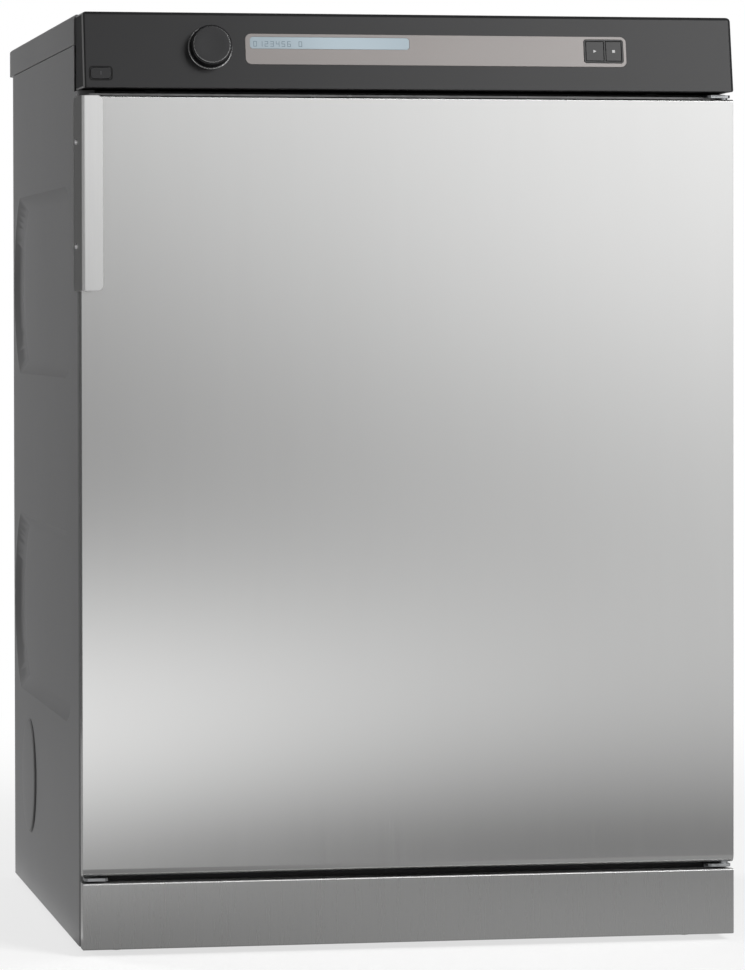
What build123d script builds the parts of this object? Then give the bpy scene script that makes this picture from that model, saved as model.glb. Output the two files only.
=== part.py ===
from build123d import *
from math import atan2, cos, degrees, pi, radians, sin, sqrt, tan
import os

# Front-loading tumble dryer. Millimetres, X to the right as seen from the front, Y to the rear, Z up.
# The origin is on the floor, under the middle of the whole outline.

# Cabinet
cabinet_width = 595.0
body_depth = 585.0
lid_overhang = 46.0
lid_skirt_height = 27.0
lid_seam = 0.7
lid_rear_corner = 18.0
lid_edge_bevel = 2.0
lid_return = 12.0
lid_pad_size = 8.0
lid_pad_inset = 8.5
lid_pad_front_margin = 54.0
lid_pad_rear_margin = 82.0
panel_bottom_z = 6.0
sheet = 1.0
side_setback = 20.0
side_flange = 15.0
side_fold_radius = 10.0
seam_gap = 0.3

# Pressed reliefs in the side panels
relief_height = 174.0
relief_upper_drop = 239.0
relief_lower_z = 286.0
relief_rear_margin = 9.0
relief_rear_radius = 96.0
relief_front_margin = 75.0
relief_corner_radius = 52.0
relief_depth = 8.5
relief_wall_run = 13.0

# Side vents and their caps
vent_from_rear = 147.0
vent_z = 119.0
vent_hole_radius = 52.0
vent_cap_radius = 55.5
vent_cap_height = 3.0
vent_cap_bevel = 1.2
vent_sides = 24
vent_clip = 6.0

# Door
door_fascia_gap = 6.5
door_plinth_gap = 5.7
door_side_inset = 0.3
door_skin = 0.8
door_skirt = 16.0
door_top_radius = 2.0
door_bottom_radius = 7.0
inner_panel_thickness = 3.0
plug_collar_gap = 12.0
plug_draft = 14.0
plug_reach = 42.0
plug_wall = 2.5
plug_sides = 40
door_seal_width = 8.0
door_seal_step = 2.0
door_seal_gap = 0.5

# Handle
handle_standoff = 25.0
handle_overlap = 31.0
handle_plate = 2.0
handle_pad = 0.8
handle_pad_size = 10.0
handle_flange = 19.5
handle_door_drop = 1.1
handle_length = 172.0
handle_bend_radius = 4.0
handle_front_corner = 5.0
handle_rear_corner = 9.0
handle_pad_from_top = 39.7
handle_pad_pitch = 92.5
handle_screw_radius = 2.6
handle_screw_sides = 12
handle_screw_head = 1.8
handle_screw_bevel = 0.6

# Door hinge
hinge_from_door_edge = 7.5
hinge_behind_face = 8.0
hinge_pin_radius = 4.0
hinge_pin_length = 14.0
hinge_clearance = 0.05
hinge_hole_gap = 0.8
hinge_hole_sides = 12
hinge_plate = 2.5
hinge_plate_gap = 1.5
hinge_plate_width = 7.0
hinge_plate_inset = 2.0
hinge_leg_height = 14.0
bush_width = 11.0
bush_height = 16.0

# Latch
catch_inset = 42.5
catch_gap = 2.0
catch_width = 26.0
catch_height = 48.0
catch_depth = 22.0
catch_wall = 1.5
strike_width = 12.0
strike_height = 24.0
strike_sheet = 1.5
strike_reach = 18.0
strike_eye = 8.0

# Plinth
plinth_top_z = 65.3
plinth_flange = 18.0
plinth_top_radius = 1.6
plinth_clip_size = 14.0
plinth_clip_z = 40.0
plinth_clip_spacing = 200.0
plinth_clip_count = 3

# Front frame
frame_shelf_drop = 2.0
frame_rail = 20.0
collar_radius = 198.0
collar_wall = 1.2
collar_sides = 48
collar_depth = 66.0

# Control fascia
fascia_side_inset = 1.5
fascia_height = 68.0
fascia_depth = 49.0
fascia_bottom_proud = 8.0
fascia_top_back = 5.0
fascia_wall = 2.5
fascia_edge_bevel = 2.5
fascia_foot_inset = 66.0
fascia_foot_size = 12.0

# Display strip, its window and the key bezel
strip_x = 23.4
strip_rise = 1.5
strip_width = 347.5
strip_height = 28.0
strip_radius = 5.5
strip_gap = 0.1
strip_proud = 0.5
strip_rim = 2.5
strip_rim_thickness = 1.0
lcd_left_margin = 4.35
lcd_rise = 7.2
lcd_width = 144.0
lcd_height = 10.6
lcd_corner = 1.8
lcd_rim = 1.5
lcd_module_depth = 12.0
bezel_right_margin = 2.8
bezel_rise = 2.0
bezel_width = 36.3
bezel_height = 21.6
bezel_corner = 1.5
bezel_wall = 1.6
bezel_proud = 1.0
bezel_rim = 2.0
bezel_rim_thickness = 1.5

# Keys and main switch
start_width = 16.8
key_gap = 0.3
key_proud = 0.8
key_depth = 5.0
key_travel = 1.0
key_stem = 6.0
switch_inset = 16.0
switch_above_bottom = 12.4
switch_width = 18.0
switch_height = 10.0
switch_corner = 1.8
switch_travel = 2.5
switch_proud = 0.6

# Programme knob
knob_strip_gap = 11.5
knob_rise = 2.4
knob_radius = 19.95
knob_height = 11.0
knob_gap = 0.5
knob_taper = 15.0
knob_wall = 2.0
knob_sides = 24
knob_cap_height = 1.2
knob_cap_taper = 35.0
spindle_radius = 3.0
spindle_clearance = 0.05
spindle_hole_gap = 1.0
spindle_hole_sides = 12
encoder_size = 15.0
encoder_height = 9.0
spindle_end_gap = 4.0

# Control board behind the fascia
board_depth = 24.0
board_thickness = 1.6
board_edge_gap = 8.0
board_end_gap = 6.5
board_beyond_keys = 20.45
board_post_left_inset = 47.0
board_post_middle_x = -20.0
board_post_right_inset = 6.0
board_post_above_edge = 6.0
board_post = 6.0
contact_size = 7.0
contact_height = 5.0

# Drum
drum_side_gap = 21.5
drum_fan_gap = 17.0
drum_lid_gap = 48.0
drum_front = 79.5
drum_bulkhead_gap = 10.0
drum_mouth_gap = 6.0
drum_sheet = 1.0
drum_sides = 60
lifter_count = 3
lifter_height = 46.0
lifter_width = 70.0
lifter_side_angle = 68.0
lifter_crest = 9.0
lifter_root = 6.0
lifter_front_gap = 26.0
lifter_rear_gap = 16.0
air_slot_count = 16
air_slot_width = 8.0
air_slot_length = 100.0
air_slot_radius = 165.0
spider_length = 96.0
spider_width = 36.0
spider_thickness = 4.0
shaft_radius = 12.5
shaft_clearance = 0.05
shaft_length = 42.0

# Rear bulkhead, bearing and heater
bulkhead_depth = 81.0
bulkhead_side_gap = 24.5
bulkhead_below_duct = 4.0
bearing_hub_radius = 27.0
bearing_hub_gap = 0.5
bearing_flange_radius = 48.0
bearing_sides = 8
bearing_flange = 5.0
bearing_nose = 2.0
bearing_length = 38.0
heater_top_gap = 33.3
heater_height = 172.0
heater_half_width = 168.0
heater_depth = 48.0
heater_wall = 1.2
heater_slot_count = 7
heater_slot_width = 14.0
heater_slot_margin = 40.0
rod_radius = 4.0
rod_sides = 6
rod_gap = 22.0
rod_count = 4

# Motor and belt drive
motor_x = 40.0
motor_front = 200.0
motor_length = 120.0
motor_sides = 8
motor_stack_radius = 60.0
motor_shield_radius = 48.0
motor_shield_length = 22.0
motor_shaft_radius = 8.0
motor_shaft_clearance = 0.05
cradle_width = 80.0
cradle_length = 60.0
cradle_wall = 3.0
pulley_motor_gap = 27.0
belt_width = 9.0
belt_thickness = 2.4
belt_clearance = 0.3
belt_drum_sides = 48
belt_pulley_sides = 12
pulley_radius = 11.0
pulley_width = 16.0

# Fan and exhaust duct
fan_depth = 66.0
fan_wall = 2.0
fan_inlet_radius = 56.0
fan_opening_sides = 16
fan_shaft_gap = 2.0
fan_foot_half_width = 30.0
impeller_radius = 80.0
impeller_front_gap = 6.0
impeller_rear_gap = 12.0
impeller_plate = 2.0
impeller_blades = 12
impeller_hub_radius = 15.0
blade_length = 22.0
blade_inset = 4.0
blade_lean = 25.0
scroll_bottom = 112.0
scroll_right = 104.0
scroll_top = 98.0
scroll_left = 92.0
scroll_corner = 54.0
fan_floor_gap = 4.5
outlet_margin = 4.0
duct_from_side = 107.5
duct_radius = 51.0
duct_wall = 2.0
spigot_step = 1.0
spigot_length = 27.0
duct_hole_gap = 0.3
duct_sides = 24

# Filter duct and lint filter
filter_side_room = 9.0
filter_front_room = 24.0
fan_inlet_sill = 3.0
filter_duct_wall = 2.0
filter_duct_depth = 46.0
filter_half_width = 125.0
filter_thickness = 12.0
filter_height = 121.0
filter_windows = 2
filter_rim = 9.0
filter_clearance = 0.5
filter_mesh = 1.0
filter_rest = 4.0
filter_guide_height = 60.0
filter_grip_width = 70.0
filter_grip_height = 14.0

# Drum rollers
roller_radius = 35.0
roller_sides = 24
roller_width = 20.0
roller_angle = 35.0
roller_contact_gap = 0.3
roller_from_door = 98.0
roller_axle_radius = 6.0
roller_clearance = 0.05
roller_bracket_size = 30.0
roller_bracket_gap = 1.0
axle_tail = 3.0

# Base and feet
base_sheet = 1.5
base_wall_height = 40.0
foot_inset = 35.5
foot_front_margin = 62.0
foot_rear_margin = 45.0
foot_pad_radius = 19.0
foot_pad_sides = 8
foot_pad_height = 6.7
foot_stud_radius = 5.0
foot_stud_sides = 16
foot_stud_length = 30.0
foot_clearance = 0.05
foot_boss_size = 22.0
foot_boss_height = 22.0

# Rear panel and cable gland
louvre_count = 6
louvre_columns = 2
louvre_width = 120.0
louvre_height = 6.0
louvre_pitch_x = 150.0
louvre_pitch_z = 20.0
gland_from_side = 65.5
gland_below_lid = 96.0
gland_bore_radius = 5.5
gland_body_radius = 11.0
gland_sides = 6
gland_inside = 6.0
gland_outside = 16.0
gland_nut_radius = 15.0
gland_nut_length = 8.0

# Places that several pieces share: from front to rear
door_face_y = -(body_depth + lid_overhang - handle_standoff) / 2
side_front_y = door_face_y + side_setback
frame_face_y = side_front_y + sheet
frame_rear_y = frame_face_y + sheet
fascia_rear_y = door_face_y + fascia_depth
rear_y = door_face_y + body_depth
rear_panel_y = rear_y - 2 * sheet
bulkhead_y = rear_panel_y - bulkhead_depth
filter_y = frame_rear_y + filter_front_room

# From the middle to the sides; the drum is as wide as the cabinet lets it be
half_width = cabinet_width / 2
tray_half_width = half_width - sheet
fascia_half_width = half_width - fascia_side_inset
drum_radius = tray_half_width - drum_side_gap
catch_x = catch_inset - half_width
duct_x = duct_from_side - half_width
gland_x = half_width - gland_from_side

# From the floor up: tray, fan, drum, lid, then down again from the lid
tray_bottom_z = panel_bottom_z + sheet
tray_floor_z = tray_bottom_z + base_sheet
motor_z = tray_floor_z + fan_floor_gap + scroll_bottom
drum_z = motor_z + scroll_top + drum_fan_gap + drum_radius
lid_top_z = drum_z + drum_radius + drum_lid_gap
lid_bottom_z = lid_top_z - lid_skirt_height
side_top_z = lid_bottom_z - lid_seam
frame_top_z = side_top_z - sheet
fascia_bottom_z = lid_top_z - fascia_height
shelf_z = fascia_bottom_z - frame_shelf_drop
door_top_z = fascia_bottom_z - door_fascia_gap
door_bottom_z = plinth_top_z + door_plinth_gap
gland_z = lid_top_z - gland_below_lid

os.makedirs("parts", exist_ok=True)


def front_plane(y):
    """A plane facing the front, with X and Z as its axes; a negative extrusion runs to the rear."""
    return Plane.XZ.offset(-y)


def side_plane(x):
    """A plane facing right, with Y and Z as its axes."""
    return Plane.YZ.offset(x)


def block(low, high, mode=Mode.ADD):
    """A plain block between two corners."""
    centre = [(a + b) / 2 for a, b in zip(low, high)]
    size = [b - a for a, b in zip(low, high)]
    with Locations(tuple(centre)):
        return Box(*size, mode=mode)


def along_y(x, z, y_low, y_high, radius, mode=Mode.ADD):
    """A cylinder that runs from front to rear."""
    with Locations(Location((x, (y_low + y_high) / 2, z), (90, 0, 0))):
        return Cylinder(radius, y_high - y_low, mode=mode)


def save(part, label):
    """Names a finished piece and writes it as a STEP file."""
    part.label = label
    export_step(part, f"parts/{label}.step")


# Side panels: trays of thin sheet with two pressed reliefs, a vent hole and a corner cut for the fascia
relief_front_y = door_face_y + relief_front_margin
relief_rear_y = rear_y - relief_rear_margin
relief_slope = relief_wall_run / relief_depth
relief_upper_z = lid_top_z - relief_upper_drop
vent_y = rear_y - vent_from_rear


def relief_outline(x, centre_z, growth):
    """Outline of a relief at plane x, drawn growth outside the relief's mouth."""
    half_height = relief_height / 2 + growth
    rear_radius = relief_rear_radius + growth
    corner = relief_corner_radius + growth
    arc_centre_y = relief_rear_y - relief_rear_radius
    tip_y = arc_centre_y + sqrt(rear_radius**2 - half_height**2)
    front_y = relief_front_y - growth
    top_z = centre_z + half_height
    bottom_z = centre_z - half_height
    with BuildSketch(side_plane(x)) as outline:
        with BuildLine():
            Line((tip_y, bottom_z), (front_y + corner, bottom_z))
            RadiusArc((front_y + corner, bottom_z), (front_y, bottom_z + corner), corner)
            Line((front_y, bottom_z + corner), (front_y, top_z - corner))
            RadiusArc((front_y, top_z - corner), (front_y + corner, top_z), corner)
            Line((front_y + corner, top_z), (tip_y, top_z))
            ThreePointArc((tip_y, top_z), (arc_centre_y + rear_radius, centre_z), (tip_y, bottom_z))
        make_face()
    return outline.sketch


def relief_form(start_x, centre_z, growth, mode):
    """A relief's tapered form, which runs inward from plane start_x."""
    extrude(
        relief_outline(start_x, centre_z, growth),
        amount=relief_depth + sheet,
        taper=degrees(atan2(relief_wall_run, relief_depth)),
        mode=mode,
    )


with BuildPart() as left_side_panel:
    block(
        (-half_width, side_front_y, panel_bottom_z),
        (-half_width + side_flange, rear_y, side_top_z),
    )
    front_outer_edge = left_side_panel.edges().filter_by(Axis.Z).sort_by(Axis.Y)[:2].sort_by(Axis.X)[0]
    fillet(front_outer_edge, radius=side_fold_radius)
    offset(amount=-sheet, openings=left_side_panel.faces().sort_by(Axis.X)[-1])
    for relief_z in (relief_upper_z, relief_lower_z):
        relief_form(-half_width, relief_z, sheet * sqrt(1 + relief_slope**2), Mode.ADD)
        relief_form(-half_width - sheet, relief_z, sheet * relief_slope, Mode.SUBTRACT)
    with BuildSketch(side_plane(-half_width)):
        with Locations((vent_y, vent_z)):
            RegularPolygon(vent_hole_radius, vent_sides)
    extrude(amount=sheet, mode=Mode.SUBTRACT)
    block(
        (-half_width - sheet, side_front_y - sheet, fascia_bottom_z - sheet),
        (-half_width + side_flange + sheet, fascia_rear_y, side_top_z + sheet),
        mode=Mode.SUBTRACT,
    )
save(left_side_panel.part, "left_side_panel")

with BuildPart() as right_side_panel:
    add(mirror(left_side_panel.part, about=Plane.YZ, mode=Mode.PRIVATE))
save(right_side_panel.part, "right_side_panel")

# Vent caps: shallow discs, each with four clips inside its vent hole
clip_ring_radius = vent_hole_radius * cos(pi / vent_sides) - vent_clip
with BuildPart() as left_vent_cap:
    with BuildSketch(side_plane(-half_width)):
        with Locations((vent_y, vent_z)):
            RegularPolygon(vent_cap_radius, vent_sides)
    extrude(amount=-vent_cap_height)
    chamfer(left_vent_cap.faces().sort_by(Axis.X)[0].edges(), length=vent_cap_bevel)
    with BuildSketch(side_plane(-half_width)):
        with Locations((vent_y, vent_z)):
            with PolarLocations(clip_ring_radius, 4):
                Rectangle(vent_clip, vent_clip)
    extrude(amount=vent_clip)
save(left_vent_cap.part, "left_vent_cap")

with BuildPart() as right_vent_cap:
    add(mirror(left_vent_cap.part, about=Plane.YZ, mode=Mode.PRIVATE))
save(right_vent_cap.part, "right_vent_cap")

# Top cover: a folded lid with rounded rear corners and a return flange, open below
lid_front_y = fascia_rear_y + seam_gap
lid_rear_y = rear_y + lid_overhang
lid_pad_x = half_width - lid_pad_inset
lid_pad_places = [
    (x, y)
    for x in (-lid_pad_x, lid_pad_x)
    for y in (fascia_rear_y + lid_pad_front_margin, rear_y - lid_pad_rear_margin)
]


def lid_plan(inset):
    """Plan of the lid as a rectangle, drawn inset inside its skirt."""
    with Locations((0, (lid_front_y + lid_rear_y) / 2)):
        Rectangle(cabinet_width - 2 * inset, lid_rear_y - lid_front_y - 2 * inset)


def rounded_lid_plan():
    """Plan of the lid with its rounded rear corners."""
    with BuildSketch(Plane.XY.offset(lid_bottom_z)) as plan:
        lid_plan(0)
        fillet(plan.vertices().group_by(Axis.Y)[-1], radius=lid_rear_corner)
    return plan.sketch


with BuildPart() as top_cover:
    extrude(rounded_lid_plan(), amount=lid_skirt_height)
    chamfer(top_cover.faces().sort_by(Axis.Z)[-1].edges(), length=lid_edge_bevel)
    offset(amount=-sheet, openings=top_cover.faces().sort_by(Axis.Z)[0])
    extrude(rounded_lid_plan(), amount=sheet)
    with BuildSketch(Plane.XY.offset(lid_bottom_z)):
        lid_plan(lid_return)
    extrude(amount=sheet, mode=Mode.SUBTRACT)
    with BuildSketch(Plane.XY.offset(side_top_z)):
        with Locations(*lid_pad_places):
            Rectangle(lid_pad_size, lid_pad_size)
    extrude(amount=lid_seam)
save(top_cover.part, "top_cover")

# Base tray with four threaded bosses for the feet
foot_x = half_width - foot_inset
foot_front_y = door_face_y + foot_front_margin
foot_rear_y = rear_y - foot_rear_margin
foot_places = {
    "front_left": (-foot_x, foot_front_y),
    "front_right": (foot_x, foot_front_y),
    "rear_left": (-foot_x, foot_rear_y),
    "rear_right": (foot_x, foot_rear_y),
}
with BuildPart() as base_tray:
    block(
        (-tray_half_width, frame_face_y + sheet, tray_bottom_z),
        (tray_half_width, rear_panel_y, tray_bottom_z + base_wall_height),
    )
    chamfer(base_tray.edges().filter_by(Axis.Z).group_by(Axis.Y)[0], length=side_fold_radius)
    offset(amount=-base_sheet, openings=base_tray.faces().sort_by(Axis.Z)[-1])
    with BuildSketch(Plane.XY.offset(tray_bottom_z)):
        with Locations(*foot_places.values()):
            Rectangle(foot_boss_size, foot_boss_size)
    extrude(amount=foot_boss_height)
    with BuildSketch(Plane.XY.offset(tray_bottom_z)):
        with Locations(*foot_places.values()):
            RegularPolygon(foot_stud_radius + foot_clearance, foot_stud_sides)
    extrude(amount=foot_boss_height, mode=Mode.SUBTRACT)
save(base_tray.part, "base_tray")

# Levelling feet, screwed fully in: an eight-sided pad under a stud
for corner, place in foot_places.items():
    with BuildPart() as foot:
        with BuildSketch(Plane.XY):
            with Locations(place):
                RegularPolygon(foot_pad_radius, foot_pad_sides)
        extrude(amount=foot_pad_height)
        with BuildSketch(Plane.XY.offset(foot_pad_height)):
            with Locations(place):
                RegularPolygon(foot_stud_radius, foot_stud_sides)
        extrude(amount=foot_stud_length)
    save(foot.part, f"foot_{corner}")


def folded_front(low, high, wall, top_radius, bottom_radius):
    """A folded sheet with a plain front, an open rear, and a rounded fold along its top and bottom."""
    with BuildPart(mode=Mode.PRIVATE) as tray:
        block(low, high)
        front_edges = tray.faces().sort_by(Axis.Y)[0].edges().filter_by(Axis.X).sort_by(Axis.Z)
        fillet(front_edges[0], radius=bottom_radius)
        fillet(front_edges[-1], radius=top_radius)
        offset(amount=-wall, openings=tray.faces().sort_by(Axis.Y)[-1])
    return tray.part


# Plinth: a folded strip under the door, with three clips back to the front frame
plinth_half_width = half_width - door_side_inset
with BuildPart() as plinth:
    add(
        folded_front(
            (-plinth_half_width, door_face_y, panel_bottom_z),
            (plinth_half_width, door_face_y + plinth_flange, plinth_top_z),
            sheet,
            plinth_top_radius,
            plinth_top_radius,
        )
    )
    with BuildSketch(front_plane(door_face_y + sheet)):
        with Locations((0, plinth_clip_z)):
            with GridLocations(plinth_clip_spacing, 1, plinth_clip_count, 1):
                Rectangle(plinth_clip_size, plinth_clip_size)
    extrude(amount=-side_setback)
save(plinth.part, "plinth")

# Front frame: one folded sheet with the drum mouth and a latch hole
frame_half_width = half_width - side_fold_radius - sheet
with BuildPart() as front_frame:
    with BuildSketch(side_plane(-frame_half_width)):
        with BuildLine():
            Polyline(
                (frame_face_y, tray_bottom_z),
                (frame_face_y, shelf_z),
                (fascia_rear_y, shelf_z),
                (fascia_rear_y, frame_top_z),
                (fascia_rear_y + frame_rail, frame_top_z),
                (fascia_rear_y + frame_rail, frame_top_z - sheet),
                (fascia_rear_y + sheet, frame_top_z - sheet),
                (fascia_rear_y + sheet, shelf_z - sheet),
                (frame_face_y + sheet, shelf_z - sheet),
                (frame_face_y + sheet, tray_bottom_z),
                close=True,
            )
        make_face()
    extrude(amount=2 * frame_half_width)
    with BuildSketch(front_plane(frame_face_y)):
        with Locations((0, drum_z)):
            RegularPolygon(collar_radius + collar_wall, collar_sides)
        with Locations((catch_x, drum_z)):
            Rectangle(strike_width + 2 * catch_gap, strike_height + 2 * catch_gap)
    extrude(amount=-sheet, mode=Mode.SUBTRACT)
save(front_frame.part, "front_frame")

# Mouth collar: a sleeve welded into the frame, with a slot in its lower side for the lint filter
with BuildPart() as mouth_collar:
    with BuildSketch(front_plane(frame_face_y)):
        with Locations((0, drum_z)):
            RegularPolygon(collar_radius + collar_wall, collar_sides)
            RegularPolygon(collar_radius, collar_sides, mode=Mode.SUBTRACT)
    extrude(amount=-collar_depth)
    with BuildSketch(front_plane(filter_y - filter_clearance)):
        with Locations((0, drum_z - collar_radius / 2 - collar_wall)):
            Rectangle(2 * (filter_half_width + filter_clearance), collar_radius)
    extrude(amount=-filter_thickness - 2 * filter_clearance, mode=Mode.SUBTRACT)
save(mouth_collar.part, "mouth_collar")

# Door skin: a folded stainless sheet with a soft lower edge and a hole for each hinge pin
door_half_width = half_width - door_side_inset
door_rear_y = door_face_y + door_skirt
door_middle_z = (door_top_z + door_bottom_z) / 2
hinge_x = door_half_width - hinge_from_door_edge
hinge_y = door_face_y + hinge_behind_face
with BuildPart() as door_panel:
    add(
        folded_front(
            (-door_half_width, door_face_y, door_bottom_z),
            (door_half_width, door_rear_y, door_top_z),
            door_skin,
            door_top_radius,
            door_bottom_radius,
        )
    )
    with BuildSketch(Plane.XY.offset(door_bottom_z)):
        with Locations((hinge_x, hinge_y)):
            RegularPolygon(hinge_pin_radius + hinge_hole_gap, hinge_hole_sides)
    extrude(amount=door_top_z - door_bottom_z, mode=Mode.SUBTRACT)
save(door_panel.part, "door_outer_panel")

# Inner door panel with the round plug that reaches into the drum mouth
inner_front_y = door_rear_y - inner_panel_thickness
plug_radius = collar_radius - plug_collar_gap
plug_depth = door_face_y + plug_reach - inner_front_y
plug_taper = degrees(atan2(plug_draft, plug_depth))


def plug_form(inset, reach, mode):
    """The plug's tapered form, drawn inset inside its outer face and reaching back from the door's face."""
    with BuildSketch(front_plane(inner_front_y)) as section:
        with Locations((0, drum_z)):
            RegularPolygon(plug_radius - inset, plug_sides)
    extrude(section.sketch, amount=-(door_face_y + reach - inner_front_y), taper=plug_taper, mode=mode)


with BuildPart() as door_inner_panel:
    with BuildSketch(front_plane(inner_front_y)):
        with Locations((0, door_middle_z)):
            Rectangle(2 * (door_half_width - door_skin), door_top_z - door_bottom_z - 2 * door_skin)
    extrude(amount=-inner_panel_thickness)
    plug_form(0, plug_reach, Mode.ADD)
    plug_form(plug_wall, plug_reach - plug_wall, Mode.SUBTRACT)
save(door_inner_panel.part, "door_inner_panel")

# Rubber door seal: a ring around the plug that meets the frame beside the drum mouth
seal_inner_radius = collar_radius + door_seal_step
with BuildPart() as door_seal:
    with BuildSketch(front_plane(door_rear_y)):
        with Locations((0, drum_z)):
            RegularPolygon(seal_inner_radius + door_seal_width, plug_sides)
            RegularPolygon(seal_inner_radius, plug_sides, mode=Mode.SUBTRACT)
    extrude(amount=-(frame_face_y - door_seal_gap - door_rear_y))
save(door_seal.part, "door_seal")

# Hinge bushes in the door's corners, bevelled to clear the skin's rounded folds
bush_ends = {
    "lower": (door_bottom_z + door_skin, 0, door_bottom_radius - door_skin),
    "upper": (door_top_z - door_skin - bush_height, -1, door_top_radius - door_skin),
}
for end, (low_z, edge_index, bevel) in bush_ends.items():
    with BuildPart() as hinge_bush:
        block(
            (hinge_x - bush_width / 2, door_face_y + door_skin, low_z),
            (hinge_x + bush_width / 2, inner_front_y, low_z + bush_height),
        )
        front_edges = hinge_bush.faces().sort_by(Axis.Y)[0].edges().filter_by(Axis.X)
        chamfer(front_edges.sort_by(Axis.Z)[edge_index], length=bevel)
        with Locations((hinge_x, hinge_y, low_z + bush_height / 2)):
            Cylinder(hinge_pin_radius + hinge_clearance, bush_height, mode=Mode.SUBTRACT)
    save(hinge_bush.part, f"hinge_bush_{end}")

# Hinge brackets on the front frame: a plate that carries the door's pin, and a leg behind it
bracket_leg_x = half_width - side_flange - sheet
bracket_rear_y = side_front_y - sheet


def bracket_plate(outer_x, low_z):
    """A hinge plate with cut front corners, from its leg out to outer_x."""
    with BuildSketch(Plane.XY.offset(low_z)) as plan:
        inner_x = bracket_leg_x - hinge_plate_width
        front_y = door_face_y + hinge_plate_inset
        with Locations(((inner_x + outer_x) / 2, (front_y + bracket_rear_y) / 2)):
            Rectangle(outer_x - inner_x, bracket_rear_y - front_y)
        chamfer(plan.vertices().group_by(Axis.Y)[0], length=hinge_plate)
    extrude(plan.sketch, amount=hinge_plate)
    block(
        (inner_x, bracket_rear_y, low_z + hinge_plate - hinge_leg_height),
        (bracket_leg_x, frame_face_y, low_z + hinge_plate),
    )


def hinge_pin(low_z, height, radius):
    """A round pin on the door's hinge axis."""
    with BuildSketch(Plane.XY.offset(low_z)) as section:
        with Locations((hinge_x, hinge_y)):
            Circle(radius)
    extrude(section.sketch, amount=height)


plate_outer_x = door_half_width - hinge_plate_inset
top_plate_z = door_top_z + hinge_plate_gap
bottom_plate_z = door_bottom_z - hinge_plate_gap - hinge_plate
bottom_pin_z = bottom_plate_z + hinge_plate
with BuildPart() as hinge_bracket_top:
    bracket_plate(plate_outer_x, top_plate_z)
    hinge_pin(top_plate_z - hinge_pin_length, hinge_pin_length, hinge_pin_radius)
save(hinge_bracket_top.part, "hinge_bracket_top")

with BuildPart() as hinge_bracket_bottom:
    bracket_plate(plate_outer_x, bottom_plate_z)
    hinge_pin(bottom_pin_z, hinge_pin_length, hinge_pin_radius)
save(hinge_bracket_bottom.part, "hinge_bracket_bottom")

with BuildPart() as spare_hinge_plate:
    bracket_plate(plate_outer_x, bottom_plate_z)
    mirror(about=Plane.YZ, mode=Mode.REPLACE)
save(spare_hinge_plate.part, "spare_hinge_plate")

# Door handle: one bent plate on two pads, fixed to the door's edge and standing off its face
handle_inner_x = -half_width - handle_pad
handle_outer_x = handle_inner_x - handle_plate
handle_front_y = door_face_y - handle_standoff
handle_rear_y = door_face_y + handle_overlap
handle_top_z = door_top_z - handle_door_drop
handle_bottom_z = handle_top_z - handle_length
handle_bend = (handle_outer_x, handle_front_y)
handle_inner_bend = (handle_inner_x, handle_front_y + handle_plate)
pad_places = [(hinge_y, handle_top_z - handle_pad_from_top - n * handle_pad_pitch) for n in range(2)]
with BuildPart() as door_handle:
    with BuildSketch(Plane.XY.offset(handle_bottom_z)) as handle_plan:
        with BuildLine():
            Polyline(
                (handle_outer_x, handle_rear_y),
                handle_bend,
                (handle_outer_x + handle_flange, handle_front_y),
                (handle_outer_x + handle_flange, handle_front_y + handle_plate),
                handle_inner_bend,
                (handle_inner_x, handle_rear_y),
                close=True,
            )
        make_face()
        fillet(handle_plan.vertices().sort_by_distance(handle_bend)[0], radius=handle_bend_radius)
        inner_corner = handle_plan.vertices().sort_by_distance(handle_inner_bend)[0]
        fillet(inner_corner, radius=handle_bend_radius - handle_plate)
    extrude(amount=handle_length)
    fillet(door_handle.edges().filter_by(Axis.X).group_by(Axis.Y)[-1], radius=handle_rear_corner)
    fillet(door_handle.edges().filter_by(Axis.Y).group_by(Axis.X)[-1], radius=handle_front_corner)
    with BuildSketch(side_plane(handle_inner_x)):
        with Locations(*pad_places):
            Rectangle(handle_pad_size, handle_pad_size)
    extrude(amount=handle_pad + door_side_inset)
save(door_handle.part, "door_handle")

# Handle screws: pan heads over the pads, with the ends of their shanks in the plate
with BuildPart() as handle_screws:
    with BuildSketch(side_plane(handle_outer_x)):
        with Locations(*pad_places):
            RegularPolygon(handle_screw_radius, handle_screw_sides)
    extrude(amount=-handle_screw_head)
    chamfer(handle_screws.faces().group_by(Axis.X)[0].edges(), length=handle_screw_bevel)
save(handle_screws.part, "handle_screws")

# Latch: a strike with an eye on the door, and a hollow catch behind the front frame
with BuildPart() as door_strike:
    with BuildSketch(front_plane(door_rear_y)):
        with Locations((catch_x, drum_z)):
            Rectangle(strike_width, strike_height)
    extrude(amount=-strike_sheet)
    with BuildSketch(side_plane(catch_x - strike_sheet / 2)):
        with Locations((door_rear_y + strike_reach / 2, drum_z)):
            Rectangle(strike_reach, strike_height)
        with Locations((door_rear_y + strike_reach - strike_eye, drum_z)):
            Rectangle(strike_eye, strike_height - strike_eye, mode=Mode.SUBTRACT)
    extrude(amount=strike_sheet)
save(door_strike.part, "door_strike")

with BuildPart() as door_catch:
    block(
        (catch_x - catch_width / 2, frame_rear_y, drum_z - catch_height / 2),
        (catch_x + catch_width / 2, frame_rear_y + catch_depth, drum_z + catch_height / 2),
    )
    offset(amount=-catch_wall, openings=door_catch.faces().sort_by(Axis.Y)[0])
save(door_catch.part, "door_catch")

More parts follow.
